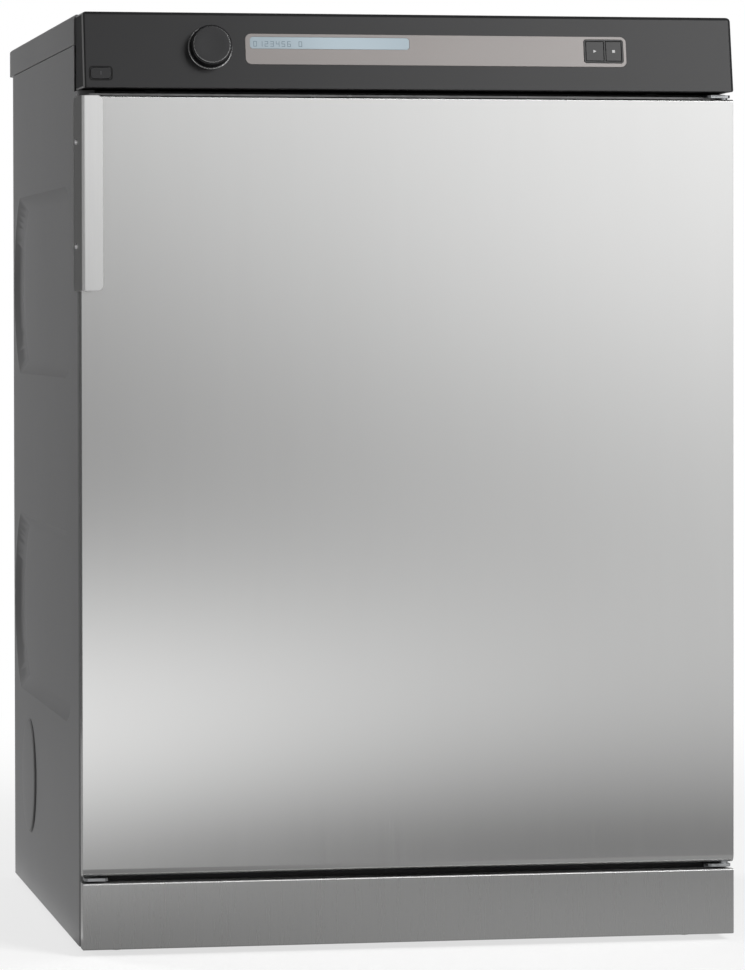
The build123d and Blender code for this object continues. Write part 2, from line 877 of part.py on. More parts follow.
# Control fascia: a hollow moulding with a sloping face, open at the rear, on two feet
face_slope = atan2(fascia_bottom_proud + fascia_top_back, lid_top_z - fascia_bottom_z)
face_middle_y = door_face_y + (fascia_top_back - fascia_bottom_proud) / 2
face_plane = Plane(
    origin=(0, face_middle_y, (lid_top_z + fascia_bottom_z) / 2),
    x_dir=(1, 0, 0),
    z_dir=(0, -cos(face_slope), sin(face_slope)),
)


strip_left_x = strip_x - strip_width / 2
lcd_x = strip_left_x + lcd_left_margin + lcd_width / 2
bezel_x = strip_x + strip_width / 2 - bezel_right_margin - bezel_width / 2
bezel_left_x = bezel_x - bezel_width / 2
switch_x = switch_inset - fascia_half_width
switch_drop = fascia_height / 2 - switch_above_bottom
knob_x = strip_left_x - knob_strip_gap - knob_radius
lcd_outline = (lcd_width, lcd_height, lcd_corner)
bezel_outline = (bezel_width, bezel_height, bezel_corner)
switch_outline = (switch_width, switch_height, switch_corner)
stop_width = bezel_width - start_width - 3 * bezel_wall
key_height = bezel_height - 2 * bezel_wall
keys = {
    "start_key": (bezel_left_x + bezel_wall + start_width / 2, start_width),
    "stop_key": (bezel_left_x + 2 * bezel_wall + start_width + stop_width / 2, stop_width),
}


board_half_height = fascia_height / 2 - board_edge_gap
board_left_x = fascia_wall + board_end_gap - fascia_half_width
board_right_x = bezel_x + bezel_width / 2 + board_beyond_keys
board_post_x = (
    board_left_x + board_post_left_inset,
    board_post_middle_x,
    board_right_x - board_post_right_inset,
)
board_post_rise = board_post_above_edge - board_half_height


def strip_window(gap):
    """The strip's rounded outline in a face sketch, one gap wider all round."""
    with Locations((strip_x, strip_rise)):
        RectangleRounded(strip_width + 2 * gap, strip_height + 2 * gap, strip_radius + gap)


def face_window(x, rise, outline, gap):
    """A window with cut corners in a face sketch, one gap wider all round than what stands in it."""
    width, height, corner = outline
    with BuildSketch(mode=Mode.PRIVATE) as window:
        Rectangle(width + 2 * gap, height + 2 * gap)
        chamfer(window.vertices(), length=corner + gap)
    with Locations((x, rise)):
        add(window.sketch)


with BuildPart() as control_fascia:
    with BuildSketch(side_plane(-fascia_half_width)):
        with BuildLine():
            Polyline(
                (fascia_rear_y, fascia_bottom_z),
                (door_face_y - fascia_bottom_proud, fascia_bottom_z),
                (door_face_y + fascia_top_back, lid_top_z),
                (fascia_rear_y, lid_top_z),
                close=True,
            )
        make_face()
    extrude(amount=2 * fascia_half_width)
    chamfer(control_fascia.faces().sort_by(Axis.Y)[0].edges().sort_by(Axis.Z)[1:], length=fascia_edge_bevel)
    offset(amount=-fascia_wall, openings=control_fascia.faces().sort_by(Axis.Y)[-1])
    with BuildSketch(face_plane):
        strip_window(strip_gap)
        face_window(switch_x, -switch_drop, switch_outline, key_gap)
        with Locations((knob_x, knob_rise)):
            RegularPolygon(spindle_radius + spindle_hole_gap, spindle_hole_sides)
    extrude(amount=-fascia_wall, mode=Mode.SUBTRACT)
    with BuildSketch(face_plane.offset(-board_depth)):
        with Locations(*[(x, board_post_rise) for x in board_post_x]):
            Rectangle(board_post, board_post)
    extrude(amount=board_depth - fascia_wall)
    for x in (fascia_foot_inset - fascia_half_width, fascia_half_width - fascia_foot_inset):
        block(
            (x - fascia_foot_size / 2, fascia_rear_y - fascia_foot_size, shelf_z),
            (x + fascia_foot_size / 2, fascia_rear_y, fascia_bottom_z),
        )
save(control_fascia.part, "control_fascia")

# Light strip that frames the display and the two keys, with a rim behind the fascia
strip_back = fascia_wall + strip_rim_thickness
with BuildPart() as display_strip:
    with BuildSketch(face_plane.offset(strip_proud)):
        strip_window(0)
    extrude(amount=-fascia_wall - strip_proud)
    with BuildSketch(face_plane.offset(-fascia_wall)):
        with Locations((strip_x, strip_rise)):
            Rectangle(strip_width + 2 * strip_rim, strip_height + 2 * strip_rim)
    extrude(amount=-strip_rim_thickness)
    with BuildSketch(face_plane.offset(strip_proud)):
        face_window(lcd_x, lcd_rise, lcd_outline, strip_gap)
        face_window(bezel_x, bezel_rise, bezel_outline, strip_gap)
    extrude(amount=-strip_back - strip_proud, mode=Mode.SUBTRACT)
save(display_strip.part, "display_strip")

with BuildPart() as display_module:
    with BuildSketch(face_plane.offset(strip_proud)):
        face_window(lcd_x, lcd_rise, lcd_outline, 0)
    extrude(amount=-strip_proud - strip_back)
    with BuildSketch(face_plane.offset(-strip_back)):
        with Locations((lcd_x, lcd_rise)):
            Rectangle(lcd_width + 2 * lcd_rim, lcd_height + 2 * lcd_rim)
    extrude(amount=-lcd_module_depth)
save(display_module.part, "display_module")

# Key bezel, with the start key and the stop key inside it
with BuildPart() as key_bezel:
    with BuildSketch(face_plane.offset(bezel_proud)):
        face_window(bezel_x, bezel_rise, bezel_outline, 0)
    extrude(amount=-bezel_proud - strip_back)
    with BuildSketch(face_plane.offset(-strip_back)):
        with Locations((bezel_x, bezel_rise)):
            Rectangle(bezel_width + 2 * bezel_rim, bezel_height + 2 * bezel_rim)
    extrude(amount=-bezel_rim_thickness)
    with BuildSketch(face_plane.offset(bezel_proud)):
        for x, width in keys.values():
            with Locations((x, bezel_rise)):
                Rectangle(width, key_height)
    extrude(amount=-bezel_proud - strip_back - bezel_rim_thickness, mode=Mode.SUBTRACT)
save(key_bezel.part, "key_bezel")


def button_stem(x, rise, travel):
    """A button's stem, which ends one key gap above its contact when pressed."""
    with BuildSketch(face_plane.offset(-key_depth)) as stem:
        with Locations((x, rise)):
            Rectangle(key_stem, key_stem)
    extrude(stem.sketch, amount=-(board_depth - key_depth - contact_height - travel - key_gap))


for label, (x, width) in keys.items():
    with BuildPart() as key:
        with BuildSketch(face_plane.offset(key_proud)):
            with Locations((x, bezel_rise)):
                Rectangle(width - 2 * key_gap, key_height - 2 * key_gap)
        extrude(amount=-key_proud - key_depth)
        button_stem(x, bezel_rise, key_travel)
    save(key.part, label)

with BuildPart() as main_switch:
    with BuildSketch(face_plane.offset(switch_proud)):
        face_window(switch_x, -switch_drop, switch_outline, 0)
    extrude(amount=-switch_proud - key_depth)
    button_stem(switch_x, -switch_drop, switch_travel)
save(main_switch.part, "main_switch")

# Control board with a contact under each button and the bush of the knob's spindle
board_front = face_plane.offset(-board_depth)
with BuildPart() as control_board:
    with BuildSketch(board_front):
        with Locations(((board_left_x + board_right_x) / 2, 0)):
            Rectangle(board_right_x - board_left_x, 2 * board_half_height)
    extrude(amount=-board_thickness)
    with BuildSketch(board_front):
        with Locations((switch_x, -switch_drop), *[(x, bezel_rise) for x, width in keys.values()]):
            Rectangle(contact_size, contact_size)
    extrude(amount=contact_height)
    with BuildSketch(board_front):
        with Locations((knob_x, knob_rise)):
            Rectangle(encoder_size, encoder_size)
            Circle(spindle_radius + spindle_clearance, mode=Mode.SUBTRACT)
    extrude(amount=encoder_height)
save(control_board.part, "control_board")

# Programme knob: a finely sided, tapered grip with a cap, on a spindle
knob_top_radius = knob_radius - knob_height * tan(radians(knob_taper))
bore_depth = knob_height - knob_wall
with BuildPart() as knob:
    with BuildSketch(face_plane.offset(knob_gap)):
        with Locations((knob_x, knob_rise)):
            RegularPolygon(knob_radius, knob_sides)
    extrude(amount=knob_height, taper=knob_taper)
    with BuildSketch(face_plane.offset(knob_gap)):
        with Locations((knob_x, knob_rise)):
            Circle(spindle_radius)
    extrude(amount=bore_depth, mode=Mode.SUBTRACT)
save(knob.part, "programme_knob")

with BuildPart() as knob_cap:
    with BuildSketch(face_plane.offset(knob_gap + knob_height)):
        with Locations((knob_x, knob_rise)):
            RegularPolygon(knob_top_radius, knob_sides)
    extrude(amount=knob_cap_height, taper=knob_cap_taper)
save(knob_cap.part, "knob_cap")

with BuildPart() as knob_spindle:
    with BuildSketch(face_plane.offset(-board_depth + spindle_end_gap)):
        with Locations((knob_x, knob_rise)):
            Circle(spindle_radius)
    extrude(amount=board_depth - spindle_end_gap + knob_gap + bore_depth)
save(knob_spindle.part, "knob_spindle")

# Drum shell: a rolled cylinder with a front wall around the mouth
drum_front_y = door_face_y + drum_front
drum_rear_y = bulkhead_y - drum_bulkhead_gap
drum_mouth_radius = collar_radius + drum_mouth_gap
drum_inner_radius = drum_radius - drum_sheet


def drum_form(front_y, rear_y, radius, mode):
    """A many-sided disc or barrel on the drum's axis."""
    with BuildSketch(front_plane(front_y)) as section:
        with Locations((0, drum_z)):
            RegularPolygon(radius, drum_sides)
    extrude(section.sketch, amount=front_y - rear_y, mode=mode)


with BuildPart() as drum_shell:
    drum_form(drum_front_y, drum_rear_y, drum_radius, Mode.ADD)
    drum_form(drum_front_y + drum_sheet, drum_rear_y, drum_inner_radius, Mode.SUBTRACT)
    drum_form(drum_front_y, drum_front_y + drum_sheet, drum_mouth_radius, Mode.SUBTRACT)
save(drum_shell.part, "drum_shell")

# Rear wall of the drum, with a ring of radial air slots
with BuildPart() as drum_rear_wall:
    with BuildSketch(front_plane(drum_rear_y)):
        with Locations((0, drum_z)):
            RegularPolygon(drum_radius, drum_sides)
            with PolarLocations(air_slot_radius, air_slot_count):
                Rectangle(air_slot_length, air_slot_width, mode=Mode.SUBTRACT)
    extrude(amount=-drum_sheet)
save(drum_rear_wall.part, "drum_rear_wall")

# Lifters: three rounded ridges that carry the load round
lifter_form = lifter_height + lifter_root
lifter_middle_radius = drum_inner_radius + lifter_root - lifter_form / 2
with BuildPart() as drum_lifters:
    with BuildSketch(front_plane(drum_front_y + lifter_front_gap)) as lifter_ring:
        with Locations((0, drum_z)):
            with PolarLocations(lifter_middle_radius, lifter_count, start_angle=90):
                Trapezoid(lifter_width, lifter_form, lifter_side_angle, rotation=90)
        fillet(lifter_ring.vertices().sort_by_distance((0, drum_z))[: 2 * lifter_count], radius=lifter_crest)
        with Locations((0, drum_z)):
            RegularPolygon(drum_inner_radius, drum_sides, mode=Mode.INTERSECT)
    extrude(amount=-(drum_rear_y - drum_front_y - lifter_front_gap - lifter_rear_gap))
save(drum_lifters.part, "drum_lifters")

# Drum shaft with a three-armed spider, which is riveted to the drum's rear wall
spider_y = drum_rear_y + drum_sheet
with BuildPart() as drum_shaft:
    with BuildSketch(front_plane(spider_y)):
        with Locations((0, drum_z)):
            with PolarLocations(spider_length / 2, lifter_count, start_angle=90):
                Rectangle(spider_length, spider_width)
    extrude(amount=-spider_thickness)
    along_y(0, drum_z, spider_y, spider_y + shaft_length, shaft_radius)
save(drum_shaft.part, "drum_shaft")

# Rear bulkhead: a tray that stands on the rear panel, with holes for the bearing, the duct and the air
bulkhead_half_width = tray_half_width - bulkhead_side_gap
bulkhead_bottom_z = vent_z - duct_radius - outlet_margin - bulkhead_below_duct
heater_top_z = frame_top_z - heater_top_gap
heater_bottom_z = heater_top_z - heater_height
heater_middle_z = (heater_top_z + heater_bottom_z) / 2
heater_slot_height = heater_height - 2 * heater_slot_margin
heater_slot_pitch = 2 * heater_half_width / (heater_slot_count + 1)


def heater_slots():
    """The row of upright air slots that the bulkhead and the heater box share."""
    with Locations((0, heater_middle_z)):
        with GridLocations(heater_slot_pitch, 1, heater_slot_count, 1):
            Rectangle(heater_slot_width, heater_slot_height)


with BuildPart() as rear_bulkhead:
    block(
        (-bulkhead_half_width, bulkhead_y, bulkhead_bottom_z),
        (bulkhead_half_width, rear_panel_y, frame_top_z),
    )
    offset(amount=-sheet, openings=rear_bulkhead.faces().sort_by(Axis.Y)[-1])
    with BuildSketch(front_plane(bulkhead_y)):
        heater_slots()
        with Locations((0, drum_z)):
            RegularPolygon(bearing_hub_radius + bearing_hub_gap, bearing_sides)
        with Locations((duct_x, vent_z)):
            RegularPolygon(duct_radius + outlet_margin, duct_sides)
    extrude(amount=-sheet, mode=Mode.SUBTRACT)
save(rear_bulkhead.part, "rear_bulkhead")

# Bearing housing: a casting bolted behind the bulkhead, with a plain bore for the drum's shaft
with BuildPart() as bearing_housing:
    with BuildSketch(front_plane(bulkhead_y - bearing_nose)):
        with Locations((0, drum_z)):
            RegularPolygon(bearing_hub_radius, bearing_sides)
    extrude(amount=-bearing_length)
    with BuildSketch(front_plane(bulkhead_y + sheet)):
        with Locations((0, drum_z)):
            RegularPolygon(bearing_flange_radius, bearing_sides)
    extrude(amount=-bearing_flange)
    along_y(
        0,
        drum_z,
        bulkhead_y - bearing_nose,
        bulkhead_y - bearing_nose + bearing_length,
        shaft_radius + shaft_clearance,
        mode=Mode.SUBTRACT,
    )
save(bearing_housing.part, "bearing_housing")

# Heater box behind the bulkhead's slots, with its rods from side to side
heater_y = bulkhead_y + sheet
with BuildPart() as heater_box:
    block(
        (-heater_half_width, heater_y, heater_bottom_z),
        (heater_half_width, heater_y + heater_depth, heater_top_z),
    )
    offset(amount=-heater_wall, openings=heater_box.faces().sort_by(Axis.Y)[0])
    with BuildSketch(front_plane(heater_y + heater_depth - heater_wall)):
        heater_slots()
    extrude(amount=-heater_wall, mode=Mode.SUBTRACT)
save(heater_box.part, "heater_box")

rod_half_length = heater_half_width - heater_wall
with BuildPart() as heater_rods:
    with BuildSketch(side_plane(-rod_half_length)):
        with Locations((heater_y + heater_depth / 2, heater_middle_z)):
            with GridLocations(1, rod_gap + 2 * rod_radius, 1, rod_count):
                RegularPolygon(rod_radius, rod_sides)
    extrude(amount=2 * rod_half_length)
save(heater_rods.part, "heater_rods")

# Rear panel with intake louvres, the exhaust hole and the hole of the cable gland
with BuildPart() as rear_panel:
    with BuildSketch(front_plane(rear_panel_y)):
        with Locations((0, (side_top_z - sheet + tray_bottom_z) / 2)):
            Rectangle(2 * tray_half_width, side_top_z - sheet - tray_bottom_z)
        with Locations((0, heater_middle_z)):
            with GridLocations(louvre_pitch_x, louvre_pitch_z, louvre_columns, louvre_count):
                Rectangle(louvre_width, louvre_height, mode=Mode.SUBTRACT)
        with Locations((duct_x, vent_z)):
            Circle(duct_radius + duct_hole_gap, mode=Mode.SUBTRACT)
        with Locations((gland_x, gland_z)):
            Circle(gland_body_radius, mode=Mode.SUBTRACT)
    extrude(amount=-sheet)
save(rear_panel.part, "rear_panel")

with BuildPart() as cable_gland:
    gland_front_y = rear_panel_y - gland_inside
    gland_rear_y = rear_panel_y + sheet + gland_outside
    with BuildSketch(front_plane(gland_front_y)):
        with Locations((gland_x, gland_z)):
            RegularPolygon(gland_body_radius, gland_sides)
    extrude(amount=-(gland_rear_y - gland_front_y))
    with BuildSketch(front_plane(rear_panel_y + sheet)):
        with Locations((gland_x, gland_z)):
            RegularPolygon(gland_nut_radius, gland_sides)
    extrude(amount=-gland_nut_length)
    along_y(gland_x, gland_z, gland_front_y, gland_rear_y, gland_bore_radius, mode=Mode.SUBTRACT)
save(cable_gland.part, "cable_gland")

# Filter duct: from the slot in the collar down to the fan, with guides and rests for the filter
fan_y = frame_rear_y + filter_duct_depth
filter_bottom_z = drum_z - collar_radius - filter_height
filter_duct_half_width = filter_half_width + filter_side_room
filter_duct_bottom_z = motor_z - fan_inlet_radius - fan_inlet_sill
guide_x = filter_half_width + filter_clearance
duct_inner_x = filter_duct_half_width - filter_duct_wall
rest_top_z = filter_bottom_z - seam_gap
with BuildPart() as filter_duct:
    with BuildSketch(front_plane(frame_rear_y)):
        with Locations((0, (filter_duct_bottom_z + drum_z) / 2)):
            Rectangle(2 * filter_duct_half_width, drum_z - filter_duct_bottom_z)
        with Locations((0, drum_z)):
            RegularPolygon(collar_radius + collar_wall, collar_sides, mode=Mode.SUBTRACT)
    extrude(amount=-filter_duct_depth)
    block(
        (-duct_inner_x, frame_rear_y + filter_duct_wall, filter_duct_bottom_z + filter_duct_wall),
        (duct_inner_x, fan_y - filter_duct_wall, drum_z),
        mode=Mode.SUBTRACT,
    )
    for left_x, right_x in ((-duct_inner_x, -guide_x), (guide_x, duct_inner_x)):
        block(
            (left_x, filter_y, rest_top_z),
            (right_x, filter_y + filter_thickness, rest_top_z + filter_guide_height),
        )
    for left_x in (-duct_inner_x, duct_inner_x - filter_rim):
        block(
            (left_x, filter_y, rest_top_z - filter_rest),
            (left_x + filter_rim, filter_y + filter_thickness, rest_top_z),
        )
    with BuildSketch(front_plane(fan_y - filter_duct_wall)):
        with Locations((motor_x, motor_z)):
            RegularPolygon(fan_inlet_radius, fan_opening_sides)
    extrude(amount=-filter_duct_wall, mode=Mode.SUBTRACT)
save(filter_duct.part, "filter_duct")

# Lint filter: a frame whose crown closes the slot, two meshes and a finger grip
window_bottom_z = filter_bottom_z + filter_rim
window_top_z = drum_z - collar_radius - filter_rim
window_width = (2 * filter_half_width - (filter_windows + 1) * filter_rim) / filter_windows
with BuildPart() as lint_filter:
    with BuildSketch(front_plane(filter_y)):
        with Locations((0, (filter_bottom_z + drum_z) / 2)):
            Rectangle(2 * filter_half_width, drum_z - filter_bottom_z)
        with Locations((0, drum_z)):
            RegularPolygon(collar_radius, collar_sides, mode=Mode.SUBTRACT)
        with Locations((0, window_top_z + filter_grip_height / 2)):
            Rectangle(filter_grip_width, filter_grip_height + 2 * filter_rim)
    extrude(amount=-filter_thickness)
    with Locations((0, filter_y + filter_thickness / 2, (window_bottom_z + window_top_z) / 2)):
        with GridLocations(window_width + filter_rim, 1, filter_windows, 1):
            Box(window_width, filter_thickness, window_top_z - window_bottom_z, mode=Mode.SUBTRACT)
            Box(window_width, filter_mesh, window_top_z - window_bottom_z)
save(lint_filter.part, "lint_filter")

# Fan housing: a scroll with sloping corners that opens into the outlet box in front of the duct
fan_rear_y = fan_y + fan_depth
outlet_reach = duct_radius + outlet_margin
outlet_roof_z = vent_z + outlet_reach + fan_wall


def scroll_outline(y, inset):
    """Front view of the scroll and its outlet box, drawn inset inside its outer face."""
    bottom_z = motor_z - scroll_bottom + inset
    right_x = motor_x + scroll_right - inset
    top_z = motor_z + scroll_top - inset
    left_x = motor_x - scroll_left + inset
    with BuildSketch(front_plane(y)) as outline:
        with BuildLine():
            Polyline(
                (duct_x - outlet_reach + inset, bottom_z),
                (right_x - scroll_corner, bottom_z),
                (right_x, bottom_z + scroll_corner),
                (right_x, top_z - scroll_corner),
                (right_x - scroll_corner, top_z),
                (left_x + scroll_corner, top_z),
                (left_x, top_z - scroll_corner),
                (left_x, outlet_roof_z - inset),
                (duct_x - outlet_reach + inset, outlet_roof_z - inset),
                close=True,
            )
        make_face()
    return outline.sketch


with BuildPart() as fan_housing:
    extrude(scroll_outline(fan_y, 0), amount=-fan_depth)
    extrude(scroll_outline(fan_y + fan_wall, fan_wall), amount=-(fan_depth - 2 * fan_wall), mode=Mode.SUBTRACT)
    with BuildSketch(front_plane(fan_y)):
        with Locations((motor_x, motor_z)):
            RegularPolygon(fan_inlet_radius, fan_opening_sides)
    extrude(amount=-fan_wall, mode=Mode.SUBTRACT)
    with BuildSketch(front_plane(fan_rear_y - fan_wall)):
        with Locations((motor_x, motor_z)):
            RegularPolygon(motor_shaft_radius + fan_shaft_gap, fan_opening_sides)
        with Locations((duct_x, vent_z)):
            RegularPolygon(duct_radius - duct_wall, duct_sides)
    extrude(amount=-fan_wall, mode=Mode.SUBTRACT)
    block(
        (motor_x - fan_foot_half_width, fan_y, tray_floor_z),
        (motor_x + fan_foot_half_width, fan_rear_y, motor_z - scroll_bottom),
    )
save(fan_housing.part, "fan_housing")

# Fan impeller: a many-sided back plate with leaning blades and a hub on the motor's shaft
impeller_y = fan_y + fan_wall + impeller_front_gap
impeller_depth = fan_depth - 2 * fan_wall - impeller_front_gap - impeller_rear_gap
impeller_plate_y = impeller_y + impeller_depth - impeller_plate
with BuildPart() as fan_impeller:
    with BuildSketch(front_plane(impeller_plate_y)):
        with Locations((motor_x, motor_z)):
            RegularPolygon(impeller_radius, impeller_blades)
    extrude(amount=-impeller_plate)
    with BuildSketch(front_plane(impeller_y)):
        with Locations((motor_x, motor_z)):
            RegularPolygon(impeller_hub_radius, impeller_blades)
            with PolarLocations(impeller_radius - blade_length / 2 - blade_inset, impeller_blades):
                Rectangle(blade_length, impeller_plate, rotation=blade_lean)
    extrude(amount=-impeller_depth)
    with BuildSketch(front_plane(impeller_y)):
        with Locations((motor_x, motor_z)):
            RegularPolygon(motor_shaft_radius, impeller_blades, major_radius=False)
    extrude(amount=-impeller_depth, mode=Mode.SUBTRACT)
save(fan_impeller.part, "fan_impeller")

# Exhaust duct: a pipe from the fan to the rear panel, and a spigot of smaller size behind it
with BuildPart() as exhaust_duct:
    with BuildSketch(front_plane(fan_rear_y)):
        with Locations((duct_x, vent_z)):
            Circle(duct_radius)
            RegularPolygon(duct_radius - duct_wall, duct_sides, mode=Mode.SUBTRACT)
    extrude(amount=-(rear_panel_y + sheet - fan_rear_y))
    with BuildSketch(front_plane(rear_panel_y + sheet)):
        with Locations((duct_x, vent_z)):
            Circle(duct_radius - spigot_step)
            RegularPolygon(duct_radius - duct_wall, duct_sides, mode=Mode.SUBTRACT)
    extrude(amount=-spigot_length)
save(exhaust_duct.part, "exhaust_duct")

# Motor: an eight-sided stack of sheets between two end shields, with plain shaft bores
motor_y = door_face_y + motor_front
half_side_turn = 180 / motor_sides
with BuildPart() as motor:
    with BuildSketch(front_plane(motor_y)):
        with Locations((motor_x, motor_z)):
            RegularPolygon(motor_shield_radius, motor_sides, rotation=half_side_turn)
    extrude(amount=-motor_length)
    with BuildSketch(front_plane(motor_y + motor_shield_length)):
        with Locations((motor_x, motor_z)):
            RegularPolygon(motor_stack_radius, motor_sides, rotation=half_side_turn)
    extrude(amount=-(motor_length - 2 * motor_shield_length))
    along_y(
        motor_x,
        motor_z,
        motor_y,
        motor_y + motor_length,
        motor_shaft_radius + motor_shaft_clearance,
        mode=Mode.SUBTRACT,
    )
save(motor.part, "motor")

# Motor cradle: a bridge of folded sheet on the base tray
cradle_top_z = motor_z - motor_stack_radius * cos(radians(half_side_turn))
cradle_y = motor_y + (motor_length - cradle_length) / 2
with BuildPart() as motor_cradle:
    block(
        (motor_x - cradle_width / 2, cradle_y, tray_floor_z),
        (motor_x + cradle_width / 2, cradle_y + cradle_length, cradle_top_z),
    )
    block(
        (motor_x - cradle_width / 2 + cradle_wall, cradle_y, tray_floor_z),
        (motor_x + cradle_width / 2 - cradle_wall, cradle_y + cradle_length, cradle_top_z - cradle_wall),
        mode=Mode.SUBTRACT,
    )
save(motor_cradle.part, "motor_cradle")

# Motor shaft, turned in one piece with the belt pulley at its rear end
belt_y = motor_y + motor_length + pulley_motor_gap + pulley_width / 2
with BuildPart() as motor_shaft:
    along_y(motor_x, motor_z, impeller_y, belt_y - pulley_width / 2, motor_shaft_radius)
    along_y(motor_x, motor_z, belt_y - pulley_width / 2, belt_y + pulley_width / 2, pulley_radius)
save(motor_shaft.part, "motor_shaft")


def belt_outline(stand_off):
    """Front view of a taut loop round the drum and the motor pulley that stands off both by one distance."""
    with BuildSketch(front_plane(belt_y - belt_width / 2)) as outline:
        with Locations((0, drum_z)):
            RegularPolygon(drum_radius + stand_off, belt_drum_sides, major_radius=False)
        with Locations((motor_x, motor_z)):
            RegularPolygon(pulley_radius + stand_off, belt_pulley_sides, major_radius=False)
        make_hull()
    return outline.sketch


# Drive belt round the drum and the motor pulley
with BuildPart() as drive_belt:
    extrude(belt_outline(belt_clearance + belt_thickness), amount=-belt_width)
    extrude(belt_outline(belt_clearance), amount=-belt_width, mode=Mode.SUBTRACT)
save(drive_belt.part, "drive_belt")

# Drum rollers on axles, each on a box bracket behind the front frame
roller_y = door_face_y + roller_from_door
roller_reach = drum_radius + roller_contact_gap + roller_radius
roller_z = drum_z - roller_reach * cos(radians(roller_angle))
bracket_half = roller_bracket_size / 2
bracket_end_y = roller_y - roller_bracket_gap
for side, sign in (("left", -1), ("right", 1)):
    roller_x = sign * roller_reach * sin(radians(roller_angle))
    with BuildPart() as roller_bracket:
        block(
            (roller_x - bracket_half, frame_rear_y, roller_z - bracket_half),
            (roller_x + bracket_half, bracket_end_y, roller_z + bracket_half),
        )
        along_y(roller_x, roller_z, bracket_end_y, roller_y + roller_width + axle_tail, roller_axle_radius)
    save(roller_bracket.part, f"roller_bracket_{side}")

    with BuildPart() as drum_roller:
        with BuildSketch(front_plane(roller_y)):
            with Locations((roller_x, roller_z)):
                RegularPolygon(roller_radius, roller_sides)
                Circle(roller_axle_radius + roller_clearance, mode=Mode.SUBTRACT)
        extrude(amount=-roller_width)
    save(drum_roller.part, f"drum_roller_{side}")
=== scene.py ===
"""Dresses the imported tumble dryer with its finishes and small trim, and sets the studio and camera."""

import logging
from dataclasses import dataclass
from enum import Enum
from math import atan2, cos, pi, radians, sin
from typing import Any, Callable, Mapping, Optional, Sequence, Union

import bmesh
import bpy
from mathutils import Matrix, Vector


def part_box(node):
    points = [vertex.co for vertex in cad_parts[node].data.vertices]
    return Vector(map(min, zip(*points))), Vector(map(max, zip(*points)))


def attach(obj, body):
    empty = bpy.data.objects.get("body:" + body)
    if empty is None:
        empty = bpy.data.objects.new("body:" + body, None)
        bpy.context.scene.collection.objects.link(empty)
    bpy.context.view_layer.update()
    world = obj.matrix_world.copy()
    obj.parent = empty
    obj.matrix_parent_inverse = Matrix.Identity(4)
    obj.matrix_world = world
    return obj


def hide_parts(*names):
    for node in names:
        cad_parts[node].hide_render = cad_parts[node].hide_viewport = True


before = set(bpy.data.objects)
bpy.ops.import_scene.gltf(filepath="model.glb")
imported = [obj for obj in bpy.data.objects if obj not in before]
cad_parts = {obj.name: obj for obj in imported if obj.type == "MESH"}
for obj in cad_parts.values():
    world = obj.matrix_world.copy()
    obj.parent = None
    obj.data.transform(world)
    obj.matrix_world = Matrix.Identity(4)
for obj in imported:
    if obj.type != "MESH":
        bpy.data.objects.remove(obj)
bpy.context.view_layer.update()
LOG = logging.getLogger("dryer")
MM = 0.001

Colour = tuple[float, float, float]
Point = tuple[float, float, float]
WHITE: Colour = (1.0, 1.0, 1.0)
Outline = Sequence[tuple[float, float]]
Input = Union[float, Sequence[float], "Signal"]


class Signal:
    """A number, colour or vector that varies over a surface: one output of a shader node.

    Arithmetic between signals and plain numbers adds Math nodes to the material.
    """

    def __init__(self, graph: "Graph", socket: bpy.types.NodeSocket) -> None:
        """Keeps the socket and the graph that it belongs to."""
        self.graph = graph
        self.socket = socket

    def __add__(self, other: Input) -> "Signal":
        """Adds another value."""
        return self.graph.maths("ADD", self, other)

    def __radd__(self, other: Input) -> "Signal":
        """Adds this signal to a plain number."""
        return self.graph.maths("ADD", other, self)

    def __sub__(self, other: Input) -> "Signal":
        """Takes another value away."""
        return self.graph.maths("SUBTRACT", self, other)

    def __rsub__(self, other: Input) -> "Signal":
        """Takes this signal away from a plain number."""
        return self.graph.maths("SUBTRACT", other, self)

    def __mul__(self, other: Input) -> "Signal":
        """Multiplies by another value."""
        return self.graph.maths("MULTIPLY", self, other)

    def __rmul__(self, other: Input) -> "Signal":
        """Multiplies a plain number by this signal."""
        return self.graph.maths("MULTIPLY", other, self)

    def absolute(self) -> "Signal":
        """Drops the sign."""
        return self.graph.maths("ABSOLUTE", self)

    def exponential(self) -> "Signal":
        """Raises e to this signal."""
        return self.graph.maths("EXPONENT", self)

    def fraction(self) -> "Signal":
        """Keeps what is left over whole numbers."""
        return self.graph.maths("FRACT", self)

    def sine(self) -> "Signal":
        """Takes the sine of this signal in radians."""
        return self.graph.maths("SINE", self)

    def at_most(self, limit: Input) -> "Signal":
        """Holds the signal at or under a limit."""
        return self.graph.maths("MINIMUM", self, limit)

    def at_least(self, limit: Input) -> "Signal":
        """Holds the signal at or over a limit."""
        return self.graph.maths("MAXIMUM", self, limit)

    def ramp(self, low: float, high: float) -> "Signal":
        """Turns the range from low to high into 0 to 1 with soft ends.

        Args:
            low: The value that becomes 0.
            high: The value that becomes 1; it may be the smaller one.

        Returns:
            The eased signal.
        """
        settings = {"interpolation_type": "SMOOTHSTEP"}
        if low > high:
            return 1.0 - self.ramp(high, low)
        return self.graph.add("ShaderNodeMapRange", settings, {"Value": self, "From Min": low, "From Max": high})


